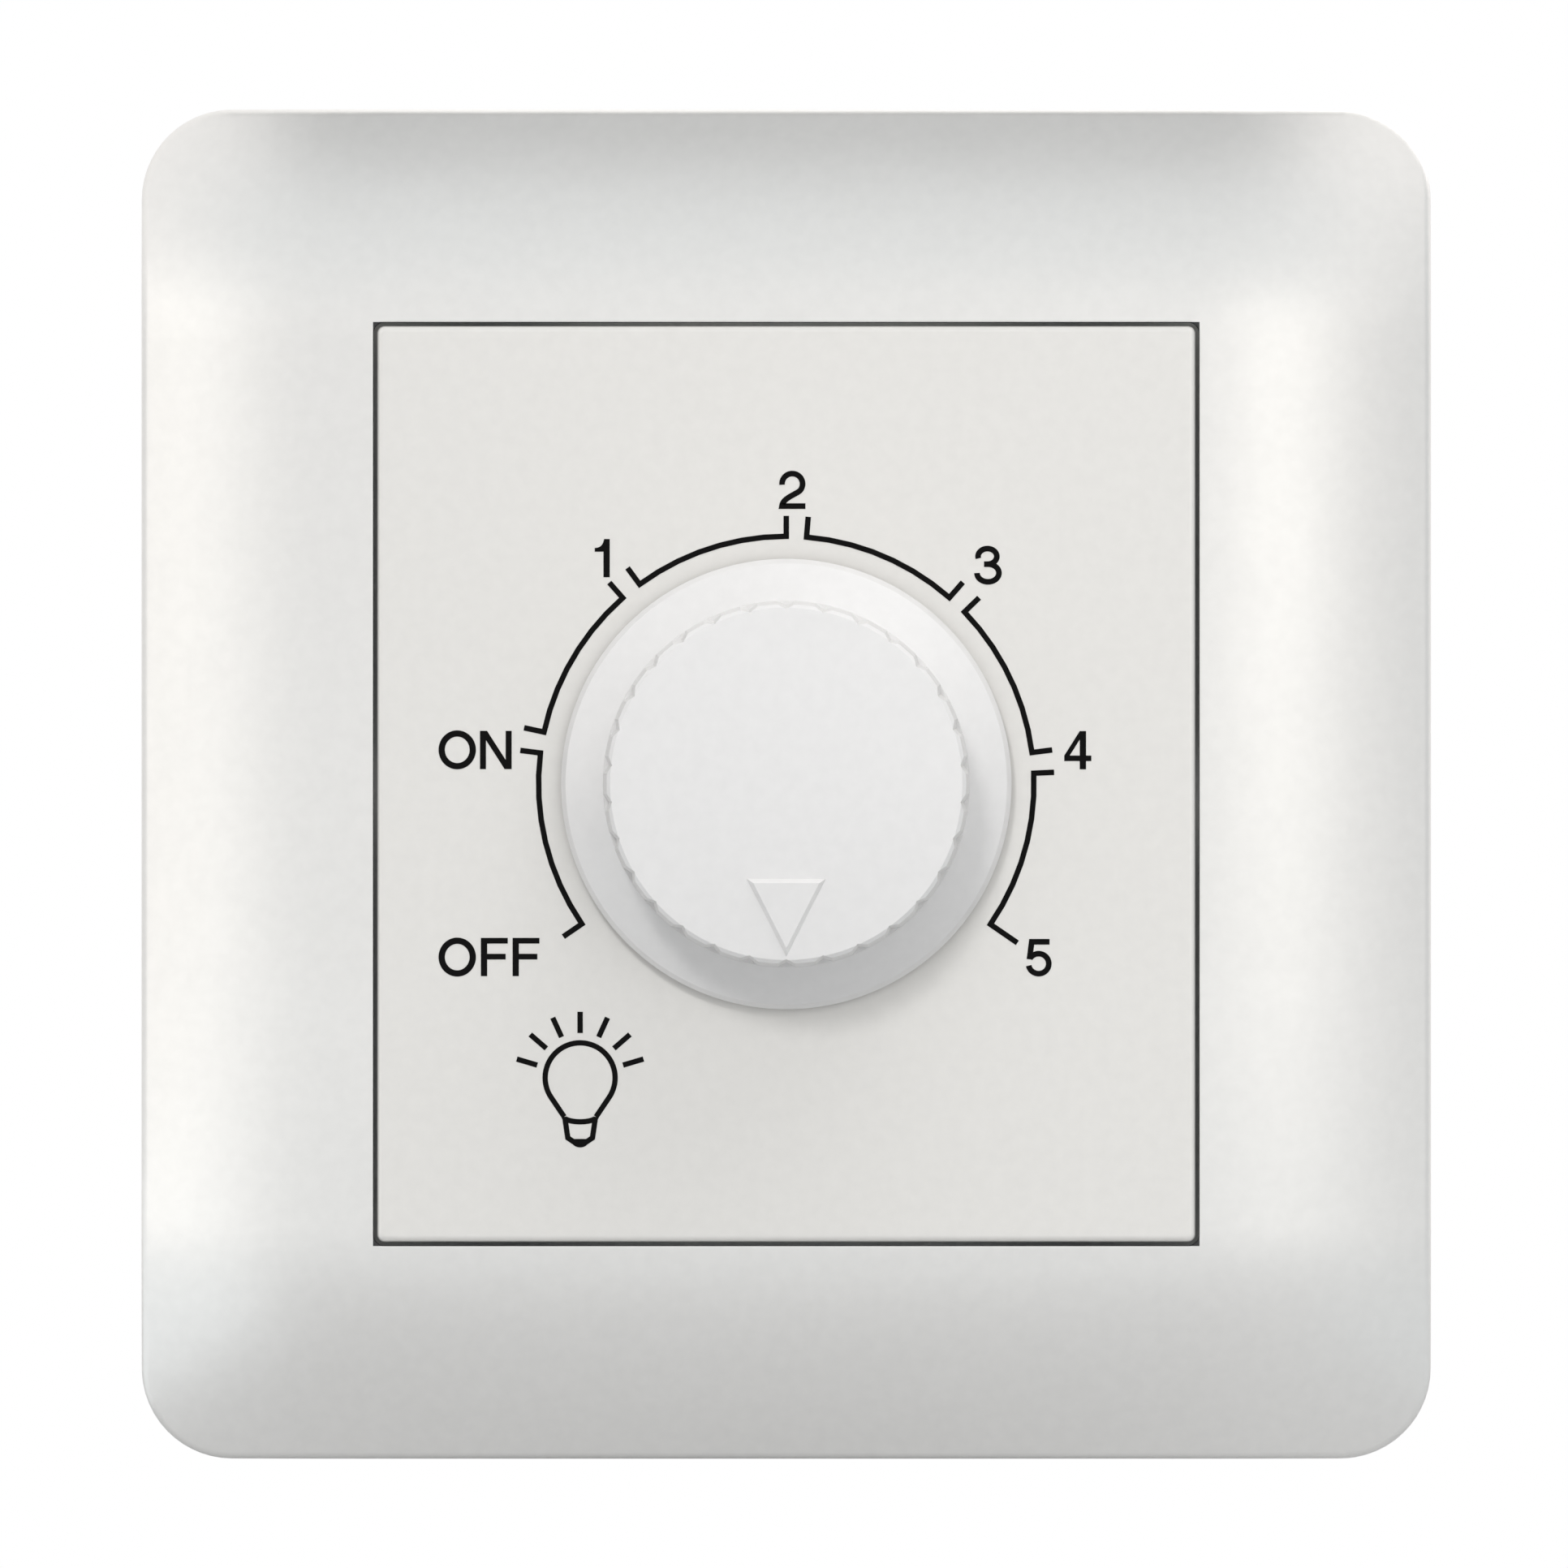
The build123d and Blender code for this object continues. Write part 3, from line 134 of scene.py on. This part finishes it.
class Print:
    """One colour of ink on the panel: raised strokes and filled shapes, gathered into one piece."""

    def __init__(self, name):
        self.name = name
        self.mesh = bmesh.new()
        self.count = 0

    def heights(self):
        """Each shape ends a little higher than the last, so that no two faces lie in one plane."""
        low = PANEL_FACE + INK_LIFT
        high = low + INK_THICKNESS + INK_STEP * (self.count % INK_LEVELS)
        self.count += 1
        return low, high

    def corner(self, point, place, height):
        return self.mesh.verts.new(at(point[0] + place[0], point[1] + place[1], height))

    def line(self, path, width, place=(0, 0), closed=False):
        """A line of one width, open or closed into a ring."""
        left, right = stroke(path, width, closed)
        low, high = self.heights()
        rows = []
        for a, b in zip(left, right):
            section = ((a, high), (b, high), (b, low), (a, low))
            rows.append([self.corner(p, place, z) for p, z in section])
        for one, two in zip(rows, rows[1:] + rows[:1] if closed else rows[1:]):
            for n in range(len(one)):
                m = (n + 1) % len(one)
                self.mesh.faces.new((one[n], one[m], two[m], two[n]))
        if not closed:
            self.mesh.faces.new(rows[0][::-1])
            self.mesh.faces.new(rows[-1])

    def shape(self, outline, place):
        """A filled shape inside an outline."""
        low, high = self.heights()
        top, foot = ([self.corner(p, place, z) for p in outline] for z in (high, low))
        self.mesh.faces.new(top)
        self.mesh.faces.new(foot[::-1])
        for n in range(len(outline)):
            m = (n + 1) % len(outline)
            self.mesh.faces.new((top[n], foot[n], foot[m], top[m]))

    def finish(self, material):
        """Makes the piece, which stays on the panel."""
        bmesh.ops.recalc_face_normals(self.mesh, faces=self.mesh.faces)
        data = bpy.data.meshes.new(self.name)
        self.mesh.to_mesh(data)
        self.mesh.free()
        data.materials.append(material)
        piece = bpy.data.objects.new(self.name, data)
        bpy.context.scene.collection.objects.link(piece)
        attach(piece, "base")


# Each sign is drawn from its own lower left corner, which goes to the place


def draw_o(ink, place):
    middle, radii = (1.245, 1.3), (1.035, 1.09)
    ink.line(arc(middle, radii, 0, 360)[:-1], STEM, place, closed=True)


def draw_n(ink, place):
    wide, tall, side, slant, corner = 2.11, CAP_HEIGHT, 0.40, 0.47, 0.62
    inner = wide - side
    half = [(0, 0), (0, tall), (slant, tall), (inner, corner), (inner, tall), (wide, tall)]
    ink.shape(half + [(wide - x, tall - y) for x, y in half], place)


def draw_f(ink, place):
    wide, tall, middle, arm = 1.79, CAP_HEIGHT, 1.3, 1.65
    low, high = middle - BAR / 2, middle + BAR / 2
    stem = [(0, 0), (0, tall), (wide, tall), (wide, tall - BAR), (STEM, tall - BAR)]
    ink.shape(stem + [(STEM, high), (arm, high), (arm, low), (STEM, low), (STEM, 0)], place)


def draw_1(ink, place):
    wide, tall, low, high, steps = 1.0, CAP_HEIGHT, 1.70, 1.955, 6
    stem = wide - STEM
    flag = bezier((0, high), (0.42, high), (0.56, 2.2), (0.62, tall), steps)
    ink.shape([(stem, 0), (stem, low), (0, low), *flag, (wide, tall), (wide, 0)], place)


def draw_2(ink, place):
    middle, radii, foot, wide = (0.907, 1.671), (0.684, 0.684), BAR / 2, 1.78
    bowl = arc(middle, radii, 185, -35)
    neck = bezier(bowl[-1], (1.266, 0.992), (0.24, 0.75), (0.22, foot))
    ink.line(bowl + neck[1:] + [(wide, foot)], BAR, place)


def draw_3(ink, place):
    upper, upper_radii, waist = (0.895, 1.88), (0.625, 0.518), (0.667, 1.362)
    lower, lower_radii = (0.930, 0.774), (0.731, 0.589)
    ink.line(arc(upper, upper_radii, 195, -90) + [waist], BAR, place)
    ink.line(arc(lower, lower_radii, 90, -180), BAR, place)


def draw_4(ink, place):
    wide, tall, left, right, low, high = 1.8, CAP_HEIGHT, 1.03, 1.45, 0.55, 0.92
    slant_foot, slant_end = 0.36, 1.98
    ink.shape([(left, 0), (left, tall), (right, tall), (right, 0)], place)
    ink.shape([(0, low), (0, high), (wide, high), (wide, low)], place)
    ink.shape([(0, high), (slant_foot, high), (left, slant_end), (left, tall)], place)


def draw_5(ink, place):
    right, left, top, waist = 1.62, 0.43, 2.34, (0.28, 1.17)
    middle, radii = (0.892, 0.881), (0.676, 0.665)
    ink.line([(right, top), (left, top), waist], BAR, place)
    ink.line(arc(middle, radii, 150, -169), BAR, place)


LEGEND = (
    (draw_o, (-23.16, 0.976)),
    (draw_n, (-20.40, 0.99)),
    (draw_o, (-23.16, -12.83)),
    (draw_f, (-20.34, -12.80)),
    (draw_f, (-18.23, -12.80)),
    (draw_1, (-12.755, 13.77)),
    (draw_2, (-0.504, 18.32)),
    (draw_3, (12.506, 13.28)),
    (draw_4, (18.52, 0.976)),
    (draw_5, (15.92, -12.85)),
)


def on_circle(radius, angle):
    return radius * cos(radians(angle)), radius * sin(radians(angle))


def scale_print(material):
    ink = Print("print_scale")
    last = len(SCALE_STRETCHES) - 1
    for n, (start, end) in enumerate(SCALE_STRETCHES):
        first_tick = on_circle(OFF_TICK if n == 0 else SCALE_TICK, start)
        last_tick = on_circle(LAST_TICK if n == last else SCALE_TICK, end)
        line = arc((0, 0), (SCALE_RADIUS, SCALE_RADIUS), start, end)
        ink.line([first_tick, *line, last_tick], SCALE_LINE)
    ink.finish(material)


def legend_print(material):
    ink = Print("print_legend")
    for draw, place in LEGEND:
        draw(ink, place)
    ink.finish(material)


def bulb_print(material):
    ink = Print("print_bulb")
    neck_x, neck_y = BULB_NECK
    globe = arc((0, 0), (BULB_RADIUS, BULB_RADIUS), -BULB_OPEN, 180 + BULB_OPEN)
    ink.line([(neck_x, neck_y), *globe, (-neck_x, neck_y)], BULB_LINE, BULB_PLACE)
    ink.line(arc((0, neck_y), (neck_x, BULB_NECK_SAG), 180, 360), BULB_LINE, BULB_PLACE)
    cap = [BULB_CAP_TOP, BULB_CAP_FOOT, BULB_CAP_END]
    ink.line(cap + [(-x, y) for x, y in reversed(cap)], BULB_LINE, BULB_PLACE)
    wide, tall, middle = BULB_CONTACT
    ink.shape(arc((0, middle), (wide, tall), 180, 360), BULB_PLACE)
    for n in range(RAY_COUNT):
        angle = 90 + RAY_PITCH * (n - (RAY_COUNT - 1) / 2)
        ray = [on_circle(radius, angle) for radius in (RAY_START, RAY_END)]
        ink.line(ray, BULB_LINE, BULB_PLACE)
    ink.finish(material)


# Materials

# Noise values between these run a colour from its dark to its light end
RAMP_STOPS = (0.3, 0.7)
EDGE_SAMPLES = 8

# The colour sockets of a Mix node, whose names it uses for other kinds of value too
MIX_FIRST, MIX_SECOND, MIX_RESULT = 6, 7, 2

# Painted shade in the narrow gap round the panel: the panel's walls are near black and not metallic
# from this depth below its face on, and so are the window's walls, which lie this close to the
# panel.
SHADE_DEPTH = 0.5
SHADE_GAP = 0.28
# Near-black colour of the painted shade on the gap's walls
GAP_SHADE = (0.02, 0.02, 0.02)


class Finish:
    """A material's node tree with short ways to add what these finishes share."""

    def __init__(self, name, **values):
        self.material = bpy.data.materials.new(name)
        self.material.use_nodes = True
        self.tree = self.material.node_tree
        self.shader = self.tree.nodes["Principled BSDF"]
        for socket, value in values.items():
            self.shader.inputs[socket.replace("_", " ")].default_value = value
        self.place = self.tree.nodes.new("ShaderNodeTexCoord").outputs["Object"]

    def link(self, source, target):
        self.tree.links.new(source, target)

    def noise(self, size, detail=2.0, stretch=(1, 1, 1)):
        """Soft random values whose patches are about this many millimetres across."""
        mapping = self.tree.nodes.new("ShaderNodeMapping")
        mapping.inputs["Scale"].default_value = stretch
        self.link(self.place, mapping.inputs["Vector"])
        texture = self.tree.nodes.new("ShaderNodeTexNoise")
        texture.inputs["Scale"].default_value = 1 / (size * MM)
        texture.inputs["Detail"].default_value = detail
        self.link(mapping.outputs["Vector"], texture.inputs["Vector"])
        return texture.outputs["Fac"]

    def cells(self, size):
        """Random grey levels in cells about this many millimetres across."""
        texture = self.tree.nodes.new("ShaderNodeTexVoronoi")
        texture.inputs["Scale"].default_value = 1 / (size * MM)
        self.link(self.place, texture.inputs["Vector"])
        grey = self.tree.nodes.new("ShaderNodeRGBToBW")
        self.link(texture.outputs["Color"], grey.inputs["Color"])
        return grey.outputs["Val"]

    def shade(self, source, dark, light):
        """Lets a source run the colour from dark to light."""
        ramp = self.tree.nodes.new("ShaderNodeValToRGB")
        for stop, spot, colour in zip(ramp.color_ramp.elements, RAMP_STOPS, (dark, light)):
            stop.position = spot
            stop.color = (*colour, 1)
        self.link(source, ramp.inputs["Fac"])
        self.link(ramp.outputs["Color"], self.shader.inputs["Base Color"])

    def gloss(self, source, low, high):
        """Lets a source run the roughness from low to high."""
        spread = self.tree.nodes.new("ShaderNodeMapRange")
        spread.inputs["To Min"].default_value = low
        spread.inputs["To Max"].default_value = high
        self.link(source, spread.inputs["Value"])
        self.link(spread.outputs["Result"], self.shader.inputs["Roughness"])

    def relief(self, source, height, softness=None):
        """Raises the surface by a source, in millimetres, over edges rounded in the light only."""
        bump = self.tree.nodes.new("ShaderNodeBump")
        bump.inputs["Distance"].default_value = height * MM
        self.link(source, bump.inputs["Height"])
        if softness:
            edge = self.tree.nodes.new("ShaderNodeBevel")
            edge.samples = EDGE_SAMPLES
            edge.inputs["Radius"].default_value = softness * MM
            self.link(edge.outputs["Normal"], bump.inputs["Normal"])
        self.link(bump.outputs["Normal"], self.shader.inputs["Normal"])

    def maths(self, operation, *values):
        """One step of arithmetic on sources and plain numbers."""
        step = self.tree.nodes.new("ShaderNodeMath")
        step.operation = operation
        for socket, value in zip(step.inputs, values):
            if isinstance(value, (int, float)):
                socket.default_value = value
            else:
                self.link(value, socket)
        return step.outputs["Value"]

    def paint_gap_shade(self, mask, colour, metal):
        """Paints shade in the given dark colour, without metal, where a mask is 1, and keeps
        metallic lacquer where it is 0.
        """
        base = self.shader.inputs["Base Color"]
        mix = self.tree.nodes.new("ShaderNodeMix")
        mix.data_type = "RGBA"
        self.link(mask, mix.inputs["Factor"])
        self.link(base.links[0].from_socket, mix.inputs[MIX_FIRST])
        mix.inputs[MIX_SECOND].default_value = (*colour, 1)
        self.link(mix.outputs[MIX_RESULT], base)
        # Painted shade: the masked part turns dark and loses its metal
        painted = self.maths("SUBTRACT", 1, mask)
        self.link(self.maths("MULTIPLY", painted, metal), self.shader.inputs["Metallic"])

    def axes(self):
        """The place on the object along x, y and z, in metres."""
        split = self.tree.nodes.new("ShaderNodeSeparateXYZ")
        self.link(self.place, split.inputs["Vector"])
        return split.outputs


def tint(colour, level):
    return tuple(c * level for c in colour)


def lacquer(name, colour, metal, rough, softness):
    """Sprayed silver: fine flakes, a little mottle in the gloss and a faint orange peel."""
    finish = Finish(name, Metallic=metal)
    flakes = finish.noise(size=0.9, detail=3.0)
    mottle = finish.noise(size=3.0)
    peel = finish.noise(size=0.35)
    finish.shade(flakes, dark=tint(colour, 0.985), light=tint(colour, 1.015))
    finish.gloss(mottle, low=rough - 0.02, high=rough + 0.02)
    finish.relief(peel, height=0.0012, softness=softness)
    return finish


def knob_lacquer(name, colour, metal, rough, softness):
    return lacquer(name, colour, metal, rough, softness).material


def panel_lacquer(name, colour, metal, rough, softness):
    """Lacquer on the panel's face, with painted shade in near black down its walls."""
    finish = lacquer(name, colour, metal, rough, softness)
    deep = finish.maths("GREATER_THAN", finish.axes()["Y"], (SHADE_DEPTH - PANEL_FACE) * MM)
    # Painted shade: the panel's walls deep in the gap turn near black
    finish.paint_gap_shade(deep, GAP_SHADE, metal)
    return finish.material


def surround_lacquer(name, colour, metal, rough, softness):
    """Lacquer all over, with painted shade in near black on the window's walls."""
    finish = lacquer(name, colour, metal, rough, softness)
    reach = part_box("front_panel")[1]
    place = finish.axes()
    across = finish.maths("SUBTRACT", finish.maths("ABSOLUTE", place["X"]), reach.x)
    along = finish.maths("SUBTRACT", finish.maths("ABSOLUTE", place["Z"]), reach.z)
    window = finish.maths("LESS_THAN", finish.maths("MAXIMUM", across, along), SHADE_GAP * MM)
    # Painted shade: the window's walls close to the panel turn near black
    finish.paint_gap_shade(window, GAP_SHADE, metal)
    return finish.material


def bare_metal(name, colour, rough, grain=0.6, stretch=(1, 1, 1)):
    """Metal whose colour varies in clouds, and its gloss with its grain."""
    finish = Finish(name, Metallic=1.0)
    clouds = finish.noise(size=4.0, detail=4.0)
    grains = finish.noise(size=grain, detail=3.0, stretch=stretch)
    finish.shade(clouds, dark=tint(colour, 0.88), light=tint(colour, 1.06))
    finish.gloss(grains, low=rough - 0.08, high=rough + 0.1)
    finish.relief(grains, height=0.002, softness=0.08)
    return finish.material


def plated(name, colour, rough):
    """Zinc on steel: crystals of slightly different grey."""
    finish = Finish(name, Metallic=1.0)
    crystals = finish.cells(size=1.6)
    finish.shade(crystals, dark=tint(colour, 0.95), light=tint(colour, 1.03))
    finish.gloss(crystals, low=rough - 0.02, high=rough + 0.05)
    finish.relief(finish.noise(size=0.3), height=0.002, softness=0.08)
    return finish.material


def moulding(name, colour, rough, grain=0.35, relief=0.01):
    """Moulded plastic with the fine spark texture of its tool."""
    finish = Finish(name)
    clouds = finish.noise(size=6.0, detail=4.0)
    sparks = finish.noise(size=grain)
    finish.shade(clouds, dark=tint(colour, 0.88), light=tint(colour, 1.1))
    finish.gloss(sparks, low=rough - 0.06, high=rough + 0.08)
    finish.relief(sparks, height=relief, softness=0.12)
    return finish.material


def enamel(name, colour, rough, coat):
    """A coloured part under a clear coat."""
    finish = Finish(name, Coat_Weight=coat, Coat_Roughness=0.12)
    clouds = finish.noise(size=1.5, detail=3.0)
    finish.shade(clouds, dark=tint(colour, 0.85), light=tint(colour, 1.1))
    finish.gloss(finish.noise(size=0.8), low=rough - 0.05, high=rough + 0.05)
    finish.relief(finish.noise(size=0.5), height=0.004)
    return finish.material


def glass(name):
    finish = Finish(name, Transmission_Weight=1.0, IOR=1.5, Base_Color=(0.97, 0.98, 0.98, 1))
    finish.gloss(finish.noise(size=2.0), low=0.02, high=0.05)
    return finish.material


def ink_finish(name):
    """Screen-printed black with a slightly uneven body."""
    finish = Finish(name, Specular_IOR_Level=0.08)
    body = finish.noise(size=0.5, detail=3.0)
    finish.shade(body, dark=(0.002, 0.002, 0.002), light=(0.004, 0.0035, 0.0035))
    finish.gloss(finish.noise(size=0.25), low=0.45, high=0.55)
    finish.relief(finish.noise(size=0.12), height=0.002)
    return finish.material


SURROUND = {"colour": (0.859, 0.841, 0.816), "metal": 0.85, "rough": 0.40, "softness": 0.25}
PANEL = {"colour": (0.754, 0.737, 0.708), "metal": 0.30, "rough": 0.42, "softness": 0.12}
KNOB = {"colour": (0.758, 0.748, 0.740), "metal": 0.12, "rough": 0.42, "softness": 0.06}
SPRING = {"colour": (0.50, 0.50, 0.50), "rough": 0.30, "grain": 0.4, "stretch": (1, 1, 8)}
SHAFT = {"colour": (0.72, 0.72, 0.73), "rough": 0.30, "grain": 0.3, "stretch": (1, 8, 1)}
IRON = {"colour": (0.16, 0.17, 0.13), "rough": 0.55, "grain": 0.2, "relief": 0.006}
LAMINATE = {"colour": (0.30, 0.18, 0.07), "rough": 0.45, "grain": 0.5, "relief": 0.004}
EPOXY = {"colour": (0.025, 0.025, 0.026), "rough": 0.50, "grain": 0.2, "relief": 0.004}
PAD = {"colour": (0.36, 0.37, 0.38), "rough": 0.70, "grain": 0.3, "relief": 0.004}

# For each slot of the record, how its finish is made and with what
FINISHES = {
    "surround_lacquer": (surround_lacquer, SURROUND),
    "panel_lacquer": (panel_lacquer, PANEL),
    "knob_lacquer": (knob_lacquer, KNOB),
    "zinc_steel": (plated, {"colour": (0.60, 0.61, 0.60), "rough": 0.34}),
    "spring_steel": (bare_metal, SPRING),
    "shaft_alloy": (bare_metal, SHAFT),
    "brass": (bare_metal, {"colour": (0.78, 0.58, 0.28), "rough": 0.30}),
    "tinned_metal": (bare_metal, {"colour": (0.70, 0.71, 0.72), "rough": 0.28}),
    "copper_wire": (enamel, {"colour": (0.42, 0.13, 0.045), "rough": 0.30, "coat": 0.8}),
    "iron_powder": (moulding, IRON),
    "rear_plastic": (moulding, {"colour": (0.045, 0.046, 0.048), "rough": 0.50}),
    "switch_plastic": (moulding, {"colour": (0.62, 0.60, 0.53), "rough": 0.45}),
    "laminate": (moulding, LAMINATE),
    "black_moulding": (moulding, EPOXY),
    "film_box": (enamel, {"colour": (0.62, 0.42, 0.06), "rough": 0.40, "coat": 0.3}),
    "resistor_lacquer": (enamel, {"colour": (0.50, 0.36, 0.20), "rough": 0.35, "coat": 0.6}),
    "clear_glass": (glass, {}),
    "grey_pad": (moulding, PAD),
}


def dress_nodes():
    """Gives each CAD node the finish that its record slot names."""
    made = {}
    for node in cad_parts.values():
        for holder in node.material_slots:
            name = holder.material.name
            if name not in made:
                make, values = FINISHES[name]
                made[name] = make(name + "_finish", **values)
            holder.material = made[name]


# Studio

# The floor's back edge lies where the front camera can't see the floor
FLOOR_DROP = 60.0
FLOOR_WIDTH = 4000.0
FLOOR_FRONT = 1500.0
FLOOR_BACK = -520.0
FLOOR_COLOUR = (0.560, 0.572, 0.582)
AMBIENT = 0.54

# Each lamp: degrees round from straight ahead to the right, degrees up, distance, size, watts, and
# whether it lights the surfaces' gloss, their body or both
LAMPS = {
    "lamp_left": (-62, -2, 700, (250, 420), 0.20, "gloss"),
    "lamp_near_left": (-46, -2, 700, (250, 420), 0.225, "gloss"),
    "lamp_right": (34, 7, 220, (60, 64), 0.0106, "gloss"),
    "lamp_near_right": (21, 7, 220, (64, 60), 0.0074, "gloss"),
    "lamp_key": (-9, 19, 900, (100, 100), 2.3, "body"),
    "lamp_front": (14, 8, 900, (500, 500), 0.75, "body"),
    "lamp_fill": (40, 55, 700, (400, 400), 1.15, "body"),
    "lamp_top": (0, 80, 700, (400, 300), 0.9, "body"),
    "lamp_rear": (150, 35, 1200, (900, 900), 3.0, "both"),
}

# Cards that only gloss sees, in place of the white round about. Each has its angles, distance, size
# and glow.
CARDS = {
    "card_above": (0, 70, 450, (410, 320), 0.29),
    "card_brow": (-4, 34, 460, (900, 290), 0.82),
    "card_right": (82, -12, 500, (420, 900), 0.66),
    "card_foot": (0, -14, 170, (420, 45), 0.84),
    "card_low_left": (-78, -38, 92, (90, 70), 1.0),
    "card_low_right": (78, -38, 92, (70, 50), 0.74),
}

# Cool cards and warm gloss lamps give the plate's grey and bright zones their tints
CARD_TINT = (0.955, 1.0, 1.025, 1)
GLOSS_TINT = (1.0, 0.975, 0.92)
BODY_TINT = (1, 1, 1)

CAMERA_DISTANCE = 4000.0
VIEW_WIDTH = 104.7
CAMERA_SIDE = -0.15
CAMERA_REACH = 20000.0
SENSOR = 36.0


def towards(right, up, distance):
    """A place this many degrees to the right of straight ahead and this many degrees up."""
    a, e = radians(right), radians(up)
    return at(distance * sin(a) * cos(e), distance * sin(e), distance * cos(a) * cos(e))


def stage_sheet(name, size, finish):
    """A flat sheet of the stage that faces up its own z, in the middle of its own frame."""
    x, y = size[0] / 2 * MM, size[1] / 2 * MM
    corners = [(-x, -y, 0), (x, -y, 0), (x, y, 0), (-x, y, 0)]
    data = bpy.data.meshes.new(name)
    data.from_pydata(corners, [], [(0, 1, 2, 3)])
    data.materials.append(finish.material)
    piece = bpy.data.objects.new(name, data)
    bpy.context.scene.collection.objects.link(piece)
    return piece


def face_plate(thing, right, up, distance):
    """Puts a lamp or card at its angles and distance and turns it to the plate."""
    thing.location = towards(right, up, distance)
    thing.rotation_euler = thing.location.to_track_quat("Z", "Y").to_euler()


def build_floor():
    finish = Finish("floor_finish", Roughness=0.9)
    clouds = finish.noise(size=40.0, detail=3.0)
    finish.shade(clouds, dark=tint(FLOOR_COLOUR, 0.99), light=tint(FLOOR_COLOUR, 1.01))
    floor = stage_sheet("floor", (FLOOR_WIDTH, FLOOR_FRONT - FLOOR_BACK), finish)
    floor.location = at(0, -FLOOR_DROP, (FLOOR_FRONT + FLOOR_BACK) / 2)


def build_cards():
    for name, (right, up, distance, size, glow) in CARDS.items():
        finish = Finish(name + "_finish", Base_Color=(0, 0, 0, 1), Specular_IOR_Level=0)
        finish.shader.inputs["Emission Color"].default_value = CARD_TINT
        finish.shader.inputs["Emission Strength"].default_value = glow
        card = stage_sheet(name, size, finish)
        face_plate(card, right, up, distance)
        card.visible_camera = False
        card.visible_diffuse = False
        card.visible_shadow = False


def build_lamps():
    for name, (right, up, distance, size, watts, part) in LAMPS.items():
        light = bpy.data.lights.new(name, "AREA")
        light.shape = "RECTANGLE"
        light.size = size[0] * MM
        light.size_y = size[1] * MM
        light.energy = watts
        light.color = GLOSS_TINT if part == "gloss" else BODY_TINT
        lamp = bpy.data.objects.new(name, light)
        face_plate(lamp, right, up, distance)
        lamp.visible_camera = False
        lamp.visible_diffuse = part != "gloss"
        lamp.visible_glossy = part != "body"
        bpy.context.scene.collection.objects.link(lamp)


def build_world():
    """White to the camera, to gloss and through glass, and an even soft light on the object."""
    world = bpy.data.worlds.new("studio")
    bpy.context.scene.world = world
    world.use_nodes = True
    nodes, links = world.node_tree.nodes, world.node_tree.links
    rays = nodes.new("ShaderNodeLightPath")
    seen = rays.outputs["Is Camera Ray"]
    for kind in ("Is Glossy Ray", "Is Transmission Ray"):
        either = nodes.new("ShaderNodeMath")
        either.operation = "MAXIMUM"
        links.new(seen, either.inputs[0])
        links.new(rays.outputs[kind], either.inputs[1])
        seen = either.outputs["Value"]
    level = nodes.new("ShaderNodeMapRange")
    level.inputs["To Min"].default_value = AMBIENT
    level.inputs["To Max"].default_value = 1.0
    links.new(seen, level.inputs["Value"])
    background = nodes["Background"]
    background.inputs["Color"].default_value = (1, 1, 1, 1)
    links.new(level.outputs["Result"], background.inputs["Strength"])


def build_camera():
    data = bpy.data.cameras.new("camera")
    data.sensor_width = SENSOR
    data.lens = SENSOR * CAMERA_DISTANCE / VIEW_WIDTH
    data.clip_end = CAMERA_REACH * MM
    camera = bpy.data.objects.new("camera", data)
    camera.location = at(CAMERA_SIDE, 0, CAMERA_DISTANCE)
    camera.rotation_euler = (pi / 2, 0, 0)
    bpy.context.scene.collection.objects.link(camera)
    bpy.context.scene.camera = camera


dress_nodes()
black_ink = ink_finish("black_ink")
scale_print(black_ink)
legend_print(black_ink)
bulb_print(black_ink)
build_floor()
build_cards()
build_lamps()
build_world()
build_camera()
bpy.context.scene.view_settings.view_transform = "Standard"
